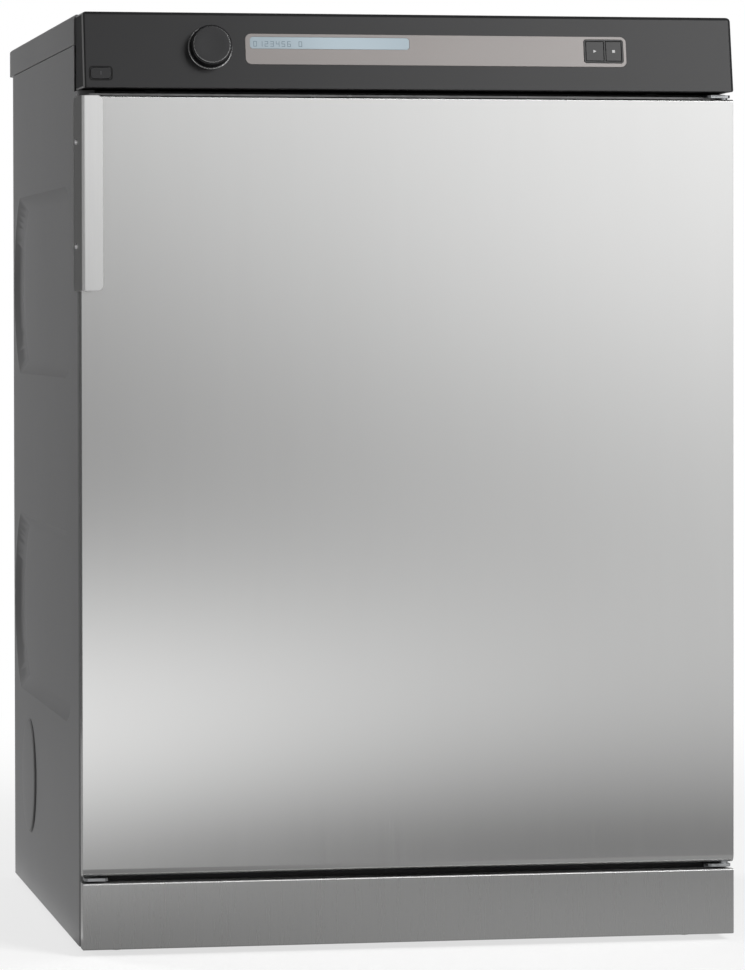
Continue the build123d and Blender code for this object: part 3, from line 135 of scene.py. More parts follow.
class Graph:
    """The node graph of one material or of the world."""

    def __init__(self, owner: Union[bpy.types.Material, bpy.types.World]) -> None:
        """Empties the owner's node tree and keeps it."""
        owner.use_nodes = True
        self.tree = owner.node_tree
        self.tree.nodes.clear()

    def add(
        self,
        kind: str,
        settings: Optional[Mapping[str, Any]] = None,
        inputs: Union[Mapping[Union[str, int], Input], Sequence[Input]] = (),
        output: Union[int, str] = 0,
    ) -> Signal:
        """Adds a node of any type.

        Args:
            kind: The node's type.
            settings: Its properties, set first; "stops" holds a colour ramp's places and colours.
            inputs: Values or signals for its sockets, by name or in order.
            output: The output to return.

        Returns:
            The chosen output as a signal.
        """
        node = self.tree.nodes.new(kind)
        for name, value in (settings or {}).items():
            if name == "stops":
                self.set_stops(node, value)
            else:
                setattr(node, name, value)
        pairs = inputs.items() if isinstance(inputs, Mapping) else enumerate(inputs)
        for key, value in pairs:
            socket = node.inputs[key]
            if isinstance(value, Signal):
                self.tree.links.new(value.socket, socket)
            elif socket.type == "RGBA" and not isinstance(value, (int, float)):
                socket.default_value = (*value[:3], 1.0)
            else:
                socket.default_value = value
        return Signal(self, node.outputs[output])

    @staticmethod
    def set_stops(node: bpy.types.Node, stops: Sequence[tuple[float, Colour]]) -> None:
        """Gives a colour ramp its stops."""
        elements = node.color_ramp.elements
        while len(elements) < len(stops):
            elements.new(1.0)
        for element, (place, colour) in zip(elements, stops):
            element.position = place
            element.color = (*colour, 1.0)

    def maths(self, operation: str, *values: Input) -> Signal:
        """Adds one Math node with its inputs in order and returns its result."""
        return self.add("ShaderNodeMath", {"operation": operation}, values)

    def place(self) -> Signal:
        """The point on the surface, in metres in the shared frame."""
        return self.add("ShaderNodeTexCoord", output="Object")

    def axes(self) -> tuple[Signal, Signal, Signal]:
        """The three coordinates of the point on the surface."""
        split = self.add("ShaderNodeSeparateXYZ", inputs=[self.place()])
        sockets = split.socket.node.outputs
        return tuple(Signal(self, sockets[i]) for i in range(3))

    def stretched(self, x: float, y: float, z: float) -> Signal:
        """The surface point with each axis multiplied by its own number."""
        return self.add("ShaderNodeVectorMath", {"operation": "MULTIPLY"}, [self.place(), (x, y, z)])

    def noise(self, x: float, y: float, z: float, detail: float = 2.0, roughness: float = 0.5) -> Signal:
        """Smooth noise from 0 to 1 with its own number of cells per metre along each axis."""
        inputs = {"Vector": self.stretched(x, y, z), "Scale": 1.0, "Detail": detail, "Roughness": roughness}
        return self.add("ShaderNodeTexNoise", {}, inputs)

    def evenly(self, scale: float) -> Signal:
        """The surface point with all three axes multiplied by one number."""
        return self.stretched(scale, scale, scale)

    def even_noise(self, scale: float, detail: float = 2.0, roughness: float = 0.5) -> Signal:
        """Smooth noise from 0 to 1 with the same number of cells per metre along each axis."""
        return self.noise(scale, scale, scale, detail, roughness)

    def mix(self, share: Input, first: Union[Colour, Signal], second: Union[Colour, Signal]) -> Signal:
        """Blends two colours; the share says how much of the second one shows."""
        return self.add("ShaderNodeMix", {"data_type": "RGBA"}, {0: share, 6: first, 7: second}, output=2)

    def shades(self, share: Input, colour: Colour, low: float, high: float) -> Signal:
        """Blends a colour multiplied by the low number with the same colour multiplied by the high one."""
        first, second = (tuple(c * factor for c in colour) for factor in (low, high))
        return self.mix(share, first, second)

    def bump(self, height: Signal, depth: float, strength: float) -> Signal:
        """The normal tilted by a relief from 0 to 1 that is as deep as the depth in metres."""
        return self.add("ShaderNodeBump", {}, {"Height": height, "Distance": depth, "Strength": strength})

    def surface(self, **sockets: Input) -> None:
        """Adds the surface shader and connects it; underscores in the names stand for spaces."""
        inputs = {name.replace("_", " "): value for name, value in sockets.items()}
        self.output(self.add("ShaderNodeBsdfPrincipled", {}, inputs))

    def output(self, shader: Signal, kind: str = "ShaderNodeOutputMaterial") -> None:
        """Adds an output node and links the shader into its surface."""
        node = self.tree.nodes.new(kind)
        self.tree.links.new(shader.socket, node.inputs["Surface"])


@dataclass(frozen=True)
class Finish:
    """A surface finish, which makes one material under its own name."""

    name: str

    def material(self) -> bpy.types.Material:
        """Returns the finish's material, made when it is first asked for."""
        made = bpy.data.materials.get(self.name)
        if made is None:
            made = bpy.data.materials.new(self.name)
            self.paint(Graph(made))
        return made

    def paint(self, graph: Graph) -> None:
        """Fills the material's graph."""
        raise NotImplementedError


@dataclass(frozen=True)
class BrushedSteel(Finish):
    """Stainless sheet with a fine upright grain."""

    colour: Colour
    roughness: float
    anisotropy: float
    hairlines: float = 1500.0
    streak_depth: float = 0.05

    def paint(self, graph: Graph) -> None:
        """Hairlines and wider streaks along Z vary the colour, the gloss and the normal."""
        hair = graph.noise(self.hairlines, self.hairlines, 16.0, detail=3.0, roughness=0.7)
        streak = graph.noise(130.0, 130.0, 3.0, detail=3.0)
        cloud = graph.noise(7.0, 7.0, 4.0, detail=2.0)
        tone = 1.0 + (hair - 0.5) * (self.streak_depth * 2.2) + (streak - 0.5) * self.streak_depth
        tone = tone + (cloud - 0.5) * (self.streak_depth * 0.8)
        base = graph.add("ShaderNodeVectorMath", {"operation": "SCALE"}, {0: self.colour, "Scale": tone})
        graph.surface(
            Base_Color=base,
            Metallic=1.0,
            Roughness=self.roughness + (hair - 0.5) * 0.05 + (streak - 0.5) * 0.015,
            Anisotropic=self.anisotropy,
            Normal=graph.bump(hair, 0.002 * MM, 0.5),
        )


@dataclass(frozen=True)
class SheetMetal(Finish):
    """Plated or bare sheet with a soft crystal pattern."""

    colour: Colour
    roughness: float
    crystals: float
    contrast: float

    def paint(self, graph: Graph) -> None:
        """Crystal cells vary the colour and the gloss, and smears lie over them."""
        cells = graph.add(
            "ShaderNodeTexVoronoi",
            {"feature": "F1"},
            {"Vector": graph.evenly(self.crystals), "Scale": 1.0},
            output="Color",
        )
        grey = graph.add("ShaderNodeSeparateColor", {}, [cells])
        smear = graph.even_noise(14.0, detail=4.0)
        tone = 1.0 + (grey - 0.5) * self.contrast + (smear - 0.5) * 0.12
        base = graph.add("ShaderNodeVectorMath", {"operation": "SCALE"}, {0: self.colour, "Scale": tone})
        graph.surface(
            Base_Color=base,
            Metallic=0.9,
            Roughness=self.roughness + (grey - 0.5) * 0.15 + (smear - 0.5) * 0.1,
        )


@dataclass(frozen=True)
class Paint(Finish):
    """Baked semi-matt paint on sheet, with a faint orange peel."""

    colour: Colour
    roughness: float
    peel_depth: float = 0.012

    def paint(self, graph: Graph) -> None:
        """A fine peel tilts the normal, and slow clouds vary the tone and gloss."""
        peel = graph.even_noise(700.0, detail=2.0)
        cloud = graph.even_noise(5.0, detail=3.0)
        graph.surface(
            Base_Color=graph.shades(cloud, self.colour, 0.95, 1.05),
            Roughness=self.roughness + (cloud - 0.5) * 0.08 + (peel - 0.5) * 0.06,
            Specular_IOR_Level=0.35,
            Normal=graph.bump(peel, self.peel_depth * MM, 0.5),
        )


@dataclass(frozen=True)
class Plastic(Finish):
    """Moulded plastic with a spark-eroded texture."""

    colour: Colour
    roughness: float
    texture_depth: float = 0.01
    specular: float = 0.4

    def paint(self, graph: Graph) -> None:
        """A fine pebble texture tilts the normal and breaks up the gloss."""
        pebble = graph.even_noise(1600.0, detail=2.0)
        cloud = graph.even_noise(9.0, detail=2.0)
        graph.surface(
            Base_Color=self.colouring(graph, pebble, cloud),
            Roughness=self.roughness + (pebble - 0.5) * 0.08 + (cloud - 0.5) * 0.05,
            Specular_IOR_Level=self.specular,
            Normal=graph.bump(pebble, self.texture_depth * MM, 0.6),
        )

    def colouring(self, graph: Graph, pebble: Signal, cloud: Signal) -> Signal:
        """Blends two shades of the colour.

        Args:
            graph: The material's graph.
            pebble: The fine texture.
            cloud: The slow variation.

        Returns:
            The colour.
        """
        return graph.shades(pebble * 0.6 + cloud * 0.4, self.colour, 0.93, 1.08)


@dataclass(frozen=True)
class HighlightedEdgePlastic(Plastic):
    """Moulded plastic with a painted highlight: a lighter band of colour along its left front edge."""

    edge_from: float = 0.0
    edge_to: float = 0.0
    highlight_colour: Colour = (0.3, 0.3, 0.3)

    def colouring(self, graph: Graph, pebble: Signal, cloud: Signal) -> Signal:
        """Paints a highlight: lightens the colour in a narrow band along the left front edge.

        Args:
            graph: The material's graph.
            pebble: The fine texture.
            cloud: The slow variation.

        Returns:
            The colour.
        """
        across, _, _ = graph.axes()
        blur = 0.3 * MM
        # The band between the two limits along X is the painted highlight.
        band = across.ramp(self.edge_from, self.edge_from + blur) * across.ramp(self.edge_to, self.edge_to - blur)
        return graph.mix(band * (0.7 + cloud * 0.3), super().colouring(graph, pebble, cloud), self.highlight_colour)


@dataclass(frozen=True)
class Rubber(Finish):
    """Matt rubber with a dusty bloom."""

    colour: Colour

    def paint(self, graph: Graph) -> None:
        """Dust clouds lift the tone, and fine pits tilt the normal."""
        dust = graph.even_noise(60.0, detail=5.0, roughness=0.6)
        pits = graph.even_noise(1200.0, detail=2.0)
        dusty = tuple(c * 2.0 + 0.01 for c in self.colour)
        graph.surface(
            Base_Color=graph.mix(dust.ramp(0.4, 0.75), self.colour, dusty),
            Roughness=0.75 + (dust - 0.5) * 0.2,
            Specular_IOR_Level=0.3,
            Normal=graph.bump(pits, 0.02 * MM, 0.6),
        )


@dataclass(frozen=True)
class CastMetal(Finish):
    """Sand-cast or lacquered metal with a grainy skin."""

    colour: Colour
    roughness: float
    metallic: float

    def paint(self, graph: Graph) -> None:
        """Grain tilts the normal, and blotches vary colour and gloss."""
        grain = graph.even_noise(450.0, detail=4.0, roughness=0.65)
        blotch = graph.even_noise(30.0, detail=3.0)
        graph.surface(
            Base_Color=graph.shades(grain * 0.5 + blotch * 0.5, self.colour, 0.85, 1.12),
            Metallic=self.metallic,
            Roughness=self.roughness + (grain - 0.5) * 0.2,
            Normal=graph.bump(grain, 0.12 * MM, 0.5),
        )


@dataclass(frozen=True)
class Laminations(Finish):
    """The motor's pressed sheets, edge on, lacquered."""

    colour: Colour
    sheets_per_metre: float = 900.0

    def paint(self, graph: Graph) -> None:
        """Bands across Y show the sheet edges, with patches of lacquer."""
        _, depth, _ = graph.axes()
        bands = (depth * self.sheets_per_metre).fraction()
        edge = (bands - 0.5).absolute().ramp(0.3, 0.5)
        lacquer = graph.even_noise(50.0, detail=4.0)
        graph.surface(
            Base_Color=graph.shades(lacquer.ramp(0.35, 0.7), self.colour, 1.0, 1.8),
            Metallic=0.6,
            Roughness=0.5 + (lacquer - 0.5) * 0.2,
            Normal=graph.bump(1.0 - edge, 0.15 * MM, 0.7),
        )


@dataclass(frozen=True)
class LitWindow(Finish):
    """The display's pale, evenly lit pane."""

    colour: Colour
    left: float
    right: float

    def paint(self, graph: Graph) -> None:
        """A slow band of light crosses the pane, over a fine cell pattern."""
        across, _, up = graph.axes()
        share = (across - self.left) * (1.0 / (self.right - self.left))
        band = share.ramp(0.05, 0.55) * share.ramp(1.25, 0.6)
        cells = graph.add("ShaderNodeTexChecker", {}, {"Vector": graph.stretched(1400.0, 1.0, 1400.0), "Scale": 1.0}, 1)
        tint = graph.shades(band * 0.9 + cells * 0.06, self.colour, 0.84, 1.0)
        graph.surface(
            Base_Color=tint,
            Roughness=0.22 + (band - 0.5) * 0.05,
            Specular_IOR_Level=0.35,
            Emission_Color=tint,
            Emission_Strength=0.12,
        )


@dataclass(frozen=True)
class CircuitBoard(Finish):
    """Green board with tracks."""

    colour: Colour

    def paint(self, graph: Graph) -> None:
        """Square track cells lie over the resin."""
        cells = graph.add(
            "ShaderNodeTexVoronoi",
            {"distance": "CHEBYCHEV", "feature": "F1"},
            {"Vector": graph.evenly(160.0), "Scale": 1.0},
        )
        track = cells.ramp(0.42, 0.5)
        graph.surface(
            Base_Color=graph.shades(track, self.colour, 1.0, 2.2),
            Roughness=0.35 + track * 0.15,
            Normal=graph.bump(track, 0.05 * MM, 0.5),
        )


@dataclass(frozen=True)
class LevellingFoot(Finish):
    """A rubber pad below a plated stud."""

    pad_top: float

    def paint(self, graph: Graph) -> None:
        """Height picks rubber or plated thread, whose turns tilt the normal."""
        _, _, up = graph.axes()
        stud = up.ramp(self.pad_top, self.pad_top + 0.2 * MM)
        thread = (up * 800.0).fraction()
        worn = graph.even_noise(80.0, detail=4.0)
        metal = graph.mix(worn, (0.5, 0.5, 0.52), (0.62, 0.62, 0.63))
        rubber = graph.mix(worn, (0.018, 0.018, 0.018), (0.04, 0.04, 0.04))
        graph.surface(
            Base_Color=graph.mix(stud, rubber, metal),
            Metallic=stud,
            Roughness=0.8 - stud * 0.45,
            Normal=graph.bump((thread - 0.5).absolute() * stud, 0.5 * MM, 0.8),
        )


@dataclass(frozen=True)
class FilterMesh(Finish):
    """White plastic whose two recessed panes carry a fine woven mesh."""

    colour: Colour
    mesh_middle: float
    half_mesh: float
    threads: float = 2200.0

    def paint(self, graph: Graph) -> None:
        """Depth picks the mesh, whose threads darken between them."""
        across, depth, up = graph.axes()
        pane = (depth - self.mesh_middle).absolute().ramp(self.half_mesh + 0.3 * MM, self.half_mesh)
        warp = (across * self.threads).sine().absolute()
        weft = (up * self.threads).sine().absolute()
        hole = warp.at_most(weft).ramp(0.3, 0.7) * pane
        soft = graph.even_noise(40.0, detail=3.0)
        graph.surface(
            Base_Color=graph.mix(hole, graph.shades(soft, self.colour, 0.9, 1.0), (0.12, 0.12, 0.12)),
            Roughness=0.5 + hole * 0.2,
            Normal=graph.bump(1.0 - hole, 0.15 * MM, 0.6),
        )


@dataclass(frozen=True)
class TurnedDisc(Finish):
    """A dark metal disc with turned rings round its own axis."""

    colour: Colour
    roughness: float
    centre: tuple[float, float, float]
    rings: float = 2400.0

    def paint(self, graph: Graph) -> None:
        """Rings round the centre vary the gloss and the normal."""
        away = graph.add("ShaderNodeVectorMath", {"operation": "DISTANCE"}, [graph.place(), self.centre], "Value")
        ring = graph.add(
            "ShaderNodeTexNoise",
            {"noise_dimensions": "1D"},
            {"W": away * self.rings, "Scale": 1.0, "Detail": 2.0},
        )
        soft = graph.even_noise(120.0, detail=2.0)
        graph.surface(
            Base_Color=graph.shades(ring * 0.7 + soft * 0.3, self.colour, 0.87, 1.15),
            Metallic=0.7,
            Roughness=self.roughness + (ring - 0.5) * 0.12,
            Normal=graph.bump(ring, 0.01 * MM, 0.5),
        )


PAINTED = Paint("painted_sheet", (0.15, 0.15, 0.152), 0.45)
# Near-black paint on the front frame: painted shade for the dark gaps above and below the door.
FRAME_SHADE_PAINT = Paint("painted_frame_shade", (0.012, 0.012, 0.013), 0.6)
STAINLESS = BrushedSteel("brushed_stainless", (0.72, 0.72, 0.715), 0.24, 0.75, streak_depth=0.02)
PLINTH_STEEL = BrushedSteel("plinth_stainless", (0.64, 0.64, 0.635), 0.28, 0.7, streak_depth=0.005)
HANDLE_STEEL = BrushedSteel("satin_handle", (0.82, 0.82, 0.815), 0.3, 0.3, hairlines=900.0, streak_depth=0.02)
ZINC = SheetMetal("zinc_plate", (0.42, 0.43, 0.44), 0.4, 400.0, 0.08)
GALVANISED = SheetMetal("galvanised_sheet", (0.5, 0.51, 0.52), 0.42, 110.0, 0.25)
DRUM_STEEL = BrushedSteel("drum_stainless", (0.64, 0.64, 0.635), 0.22, 0.5, hairlines=700.0)
LIP_STEEL = SheetMetal("lip_steel", (0.26, 0.26, 0.26), 0.35, 300.0, 0.1)
SCREW_STEEL = SheetMetal("screw_steel", (0.78, 0.78, 0.78), 0.25, 900.0, 0.05)
FASCIA = Plastic("fascia_plastic", (0.02, 0.02, 0.021), 0.42, 0.008, 0.3)
# The fascia's finish, with a painted highlight along its left front edge.
FASCIA_WITH_HIGHLIGHT = HighlightedEdgePlastic(
    "fascia_painted_highlight", FASCIA.colour, FASCIA.roughness, FASCIA.texture_depth, FASCIA.specular, -295.92 * MM, -294.3 * MM
)
STRIP = Plastic("strip_plastic", (0.31, 0.285, 0.275), 0.35, 0.003, 0.4)
KEY = Plastic("key_plastic", (0.026, 0.0262, 0.0266), 0.42, 0.006, 0.35)
# Near-black for the painted shade in the gap round the main switch.
GAP_SHADE = Plastic("painted_gap_shade", (0.004, 0.004, 0.004), 0.6, 0.004, 0.2)
KNOB_BODY = Plastic("knob_gloss", (0.008, 0.008, 0.009), 0.16, 0.002, 0.5)
WHITE_PLASTIC = Plastic("white_plastic", (0.7, 0.7, 0.68), 0.4)
GREY_PLASTIC = Plastic("grey_plastic", (0.2, 0.2, 0.205), 0.5)
MARK = Plastic("printed_mark", (0.55, 0.55, 0.55), 0.5, 0.001)
FAINT_MARK = Plastic("sunk_mark", (0.075, 0.075, 0.078), 0.5, 0.001)
SEGMENT = Plastic("display_segment", (0.19, 0.25, 0.3), 0.3, 0.001)
BOARD = CircuitBoard("circuit_board", (0.02, 0.11, 0.04))
BLACK_RUBBER = Rubber("black_rubber", (0.02, 0.02, 0.02))
SEAL_RUBBER = Rubber("seal_rubber", (0.09, 0.09, 0.092))
CASTING = CastMetal("cast_aluminium", (0.5, 0.5, 0.5), 0.5, 0.85)
STACK = Laminations("motor_stack", (0.06, 0.06, 0.065))
RING_METAL = SheetMetal("knob_ring", (0.5, 0.5, 0.5), 0.3, 900.0, 0.03)
BEVEL_METAL = SheetMetal("knob_bevel", (0.3, 0.3, 0.3), 0.25, 900.0, 0.03)


class Axis(Enum):
    """The axes of the shared frame."""

    X = 0
    Y = 1
    Z = 2


class Piece:
    """A mesh piece in the shared frame, built from simple forms, which rides on a body."""

    def __init__(self, name: str, body: str, finish: Finish, slot: str, replaces: Sequence[str] = ()) -> None:
        """Starts an empty piece.

        Args:
            name: The piece's name.
            body: The CAD body that it rides on.
            finish: Its finish.
            slot: The record's material slot; it is kept but not used.
            replaces: CAD nodes that it stands for.
        """
        self.name = name
        self.body = body
        self.finish = finish
        self.slot = slot
        self.replaces = replaces
        self.mesh = bmesh.new()

    def revolve(self, profile: Outline, place: Matrix, steps: int = 64) -> "Piece":
        """Adds a turned form.

        Args:
            profile: Radius and height of each point, in metres; a radius of 0 closes the form.
            place: The form's own frame, turned about its Z axis.
            steps: The number of faces round the form.

        Returns:
            This piece.
        """
        rings = []
        for radius, height in profile:
            count = steps if radius > 1e-7 else 1
            angles = [2 * pi * i / count for i in range(count)]
            points = [Vector((radius * cos(a), radius * sin(a), height)) for a in angles]
            rings.append([self.mesh.verts.new(place @ p) for p in points])
        for lower, upper in zip(rings, rings[1:]):
            for i in range(steps):
                corners = [lower[i % len(lower)], lower[(i + 1) % len(lower)]]
                corners += [upper[(i + 1) % len(upper)], upper[i % len(upper)]]
                unique = list(dict.fromkeys(corners))
                if len(unique) > 2:
                    self.mesh.faces.new(unique)
        return self

    def prism(self, outline: Outline, place: Matrix, depth: float) -> "Piece":
        """Adds a flat form of one thickness.

        Args:
            outline: Corner points in the form's own XY plane.
            place: The form's own frame.
            depth: Its thickness along its Z axis.

        Returns:
            This piece.
        """
        lower = self.loop(outline, place, 0.0)
        upper = self.loop(outline, place, depth)
        self.mesh.faces.new(lower[::-1])
        self.mesh.faces.new(upper)
        self.join(lower, upper)
        return self

    def loop(self, outline: Outline, place: Matrix, level: float) -> list[bmesh.types.BMVert]:
        """Adds the points of an outline at a level along the Z axis of its place."""
        return [self.mesh.verts.new(place @ Vector((x, y, level))) for x, y in outline]

    def join(self, lower: Sequence[bmesh.types.BMVert], upper: Sequence[bmesh.types.BMVert]) -> None:
        """Joins two loops of as many points by four-sided faces."""
        for i in range(len(lower)):
            j = (i + 1) % len(lower)
            self.mesh.faces.new([lower[i], lower[j], upper[j], upper[i]])

    def frame(
        self, inner: tuple[float, float, float], outer: tuple[float, float, float], place: Matrix, depth: float
    ) -> "Piece":
        """Adds a flat frame between two rounded oblongs.

        Args:
            inner: Width, height and corner radius of its opening.
            outer: Width, height and corner radius of its outline.
            place: The frame's own place, with Z out of the surface.
            depth: Its thickness along Z.

        Returns:
            This piece.
        """
        loops = []
        for oblong, level in ((inner, 0.0), (outer, 0.0), (outer, depth), (inner, depth)):
            loops.append(self.loop(rounded_oblong(*oblong), place, level))
        for first, second in zip(loops, loops[1:] + loops[:1]):
            self.join(first, second)
        return self

    def copy_of(self, node: str) -> "Piece":
        """Adds a node's own form, with one face for each flat side."""
        self.mesh.from_mesh(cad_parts[node].data)
        bmesh.ops.remove_doubles(self.mesh, verts=self.mesh.verts, dist=1e-6)
        bmesh.ops.dissolve_limit(self.mesh, angle_limit=radians(1.0), verts=self.mesh.verts, edges=self.mesh.edges)
        return self

    def rounded(self, radius: float, chosen: Callable[[bmesh.types.BMEdge], bool], segments: int = 3) -> "Piece":
        """Rounds some of the sharp edges.

        Args:
            radius: The width of the rounding on each side of an edge.
            chosen: Says of a sharp edge whether it is rounded.
            segments: The number of strips in the rounding.

        Returns:
            This piece.
        """
        sharp = [e for e in self.mesh.edges if len(e.link_faces) == 2 and e.calc_face_angle() > radians(20.0)]
        edges = [edge for edge in sharp if edge.calc_length() > 0.2 * MM and chosen(edge)]
        bmesh.ops.bevel(self.mesh, geom=edges, offset=radius, segments=segments, profile=0.5, affect="EDGES")
        return self

    def trim_corner(self, corner: tuple[float, float], toward: tuple[float, float], radius: float) -> "Piece":
        """Rounds a corner that runs along the Y axis with five flat cuts.

        Args:
            corner: The corner's X and Z.
            toward: 1 or -1 for the side that it points to along X and Z.
            radius: Its radius.

        Returns:
            This piece.
        """
        centre = Vector((corner[0] - toward[0] * radius, 0.0, corner[1] - toward[1] * radius))
        cuts = 5
        for step in range(cuts):
            turn = radians(90.0 / cuts * (step + 0.5))
            out = Vector((toward[0] * cos(turn), 0.0, toward[1] * sin(turn)))
            whole = [*self.mesh.verts, *self.mesh.edges, *self.mesh.faces]
            found = bmesh.ops.bisect_plane(
                self.mesh, geom=whole, dist=1e-7, plane_co=centre + out * radius, plane_no=out, clear_outer=True
            )
            rim = [item for item in found["geom_cut"] if isinstance(item, bmesh.types.BMEdge)]
            bmesh.ops.contextual_create(self.mesh, geom=rim)
        return self

    def screw(self, place: Matrix, radius: float, height: float) -> "Piece":
        """Adds a screw head with a round recess.

        Args:
            place: The head's own frame, with Z out of the surface.
            radius: The head's radius.
            height: The head's height.

        Returns:
            This piece.
        """
        recess = [(0.0, height * 0.45), (radius * 0.3, height * 0.5), (radius * 0.42, height * 0.96)]
        rim = [(radius * 0.7, height * 0.9), (radius * 0.93, height * 0.55), (radius, height * 0.2), (radius, 0.0)]
        return self.revolve(recess + rim, place, steps=16)

    def done(self, sharp_angle: float = 35.0) -> bpy.types.Object:
        """Makes the object, dresses it and lets it ride on its body.

        Args:
            sharp_angle: Edges that turn by more degrees than this stay sharp.

        Returns:
            The finished object.
        """
        bmesh.ops.recalc_face_normals(self.mesh, faces=self.mesh.faces)
        for face in self.mesh.faces:
            face.smooth = True
        for edge in self.mesh.edges:
            edge.smooth = len(edge.link_faces) == 2 and edge.calc_face_angle() < radians(sharp_angle)
        data = bpy.data.meshes.new(self.name)
        self.mesh.to_mesh(data)
        self.mesh.free()
        obj = link(self.name, data)
        data.materials.append(self.finish.material())
        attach(obj, self.body)
        weighted = obj.modifiers.new("flat_sides_stay_flat", "WEIGHTED_NORMAL")
        weighted.keep_sharp = True
        weighted.weight = 100
        if self.replaces:
            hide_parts(*self.replaces)
        LOG.info("made %s on %s", self.name, self.body)
        return obj


def facing(origin: Sequence[float], normal: Sequence[float], up: Sequence[float] = (0.0, 0.0, 1.0)) -> Matrix:
    """A frame on a surface.

    Args:
        origin: Its origin in metres.
        normal: The direction of its Z axis.
        up: A direction that its Y axis leans towards.

    Returns:
        The frame as a matrix.
    """
    z_axis = Vector(normal).normalized()
    x_axis = Vector(up).cross(z_axis).normalized()
    y_axis = z_axis.cross(x_axis)
    return Matrix.Translation(Vector(origin)) @ Matrix((x_axis, y_axis, z_axis)).transposed().to_4x4()


def rounded_oblong(width: float, height: float, corner: float, steps: int = 6) -> Outline:
    """The outline of an oblong with rounded corners, round the origin.

    Args:
        width: Its width.
        height: Its height.
        corner: Its corner radius.
        steps: The number of pieces in each corner's arc.

    Returns:
        The outline's points.
    """
    points = []
    for quarter, (side_x, side_y) in enumerate(((1, 1), (-1, 1), (-1, -1), (1, -1))):
        for step in range(steps + 1):
            angle = (quarter + step / steps) * pi / 2
            x = side_x * (width / 2 - corner) + corner * cos(angle)
            points.append((x, side_y * (height / 2 - corner) + corner * sin(angle)))
    return points


def oblong(left: float, bottom: float, right: float, top: float) -> Outline:
    """The outline of an oblong with sharp corners."""
    return [(left, bottom), (right, bottom), (right, top), (left, top)]


def link(name: str, data: bpy.types.ID) -> bpy.types.Object:
    """Makes an object and links it into the scene."""
    obj = bpy.data.objects.new(name, data)
    bpy.context.scene.collection.objects.link(obj)
    return obj


def middle(edge: bmesh.types.BMEdge) -> Vector:
    """The middle of an edge."""
    return (edge.verts[0].co + edge.verts[1].co) / 2


def along(edge: bmesh.types.BMEdge, axis: Axis) -> bool:
    """Whether an edge runs along an axis."""
    return abs((edge.verts[1].co - edge.verts[0].co).normalized()[axis.value]) > 0.9


def soften(node: str, body: str, finish: Finish, slot: str, radius: float) -> None:
    """Stands a copy with rounded edges, which rides on the body, in for a CAD node."""
    piece = Piece(f"{node}_softened", body, finish, slot, [node]).copy_of(node)
    piece.rounded(radius, lambda edge: edge.is_convex).done()


def dress(finish: Finish, *nodes: str) -> None:
    """Gives CAD nodes their finish.

    Args:
        finish: The finish.
        nodes: Names of the CAD nodes.
    """
    for name in nodes:
        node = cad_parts[name]
        if not node.material_slots:
            node.data.materials.append(finish.material())
        for slot in node.material_slots:
            slot.material = finish.material()
        LOG.info("dressed %s with %s", name, finish.name)


@dataclass
class FasciaPlane:
    """The sloping face of the control panel."""

    middle_y: float = -304.5 * MM
    middle_z: float = 804.0 * MM
    slope: float = atan2(13.0, 68.0)

    def at(self, x: float, rise: float, lift: float = 0.0) -> Matrix:
        """A frame on the face.

        Args:
            x: Place along the face, in metres.
            rise: Place up the face.
            lift: Height off the face.

        Returns:
            The frame, with Z out of the face and Y up it.
        """
        normal = Vector((0.0, -cos(self.slope), sin(self.slope)))
        up = Vector((0.0, sin(self.slope), cos(self.slope)))
        origin = Vector((x, self.middle_y, self.middle_z)) + up * rise + normal * lift
        return facing(origin, normal, up)


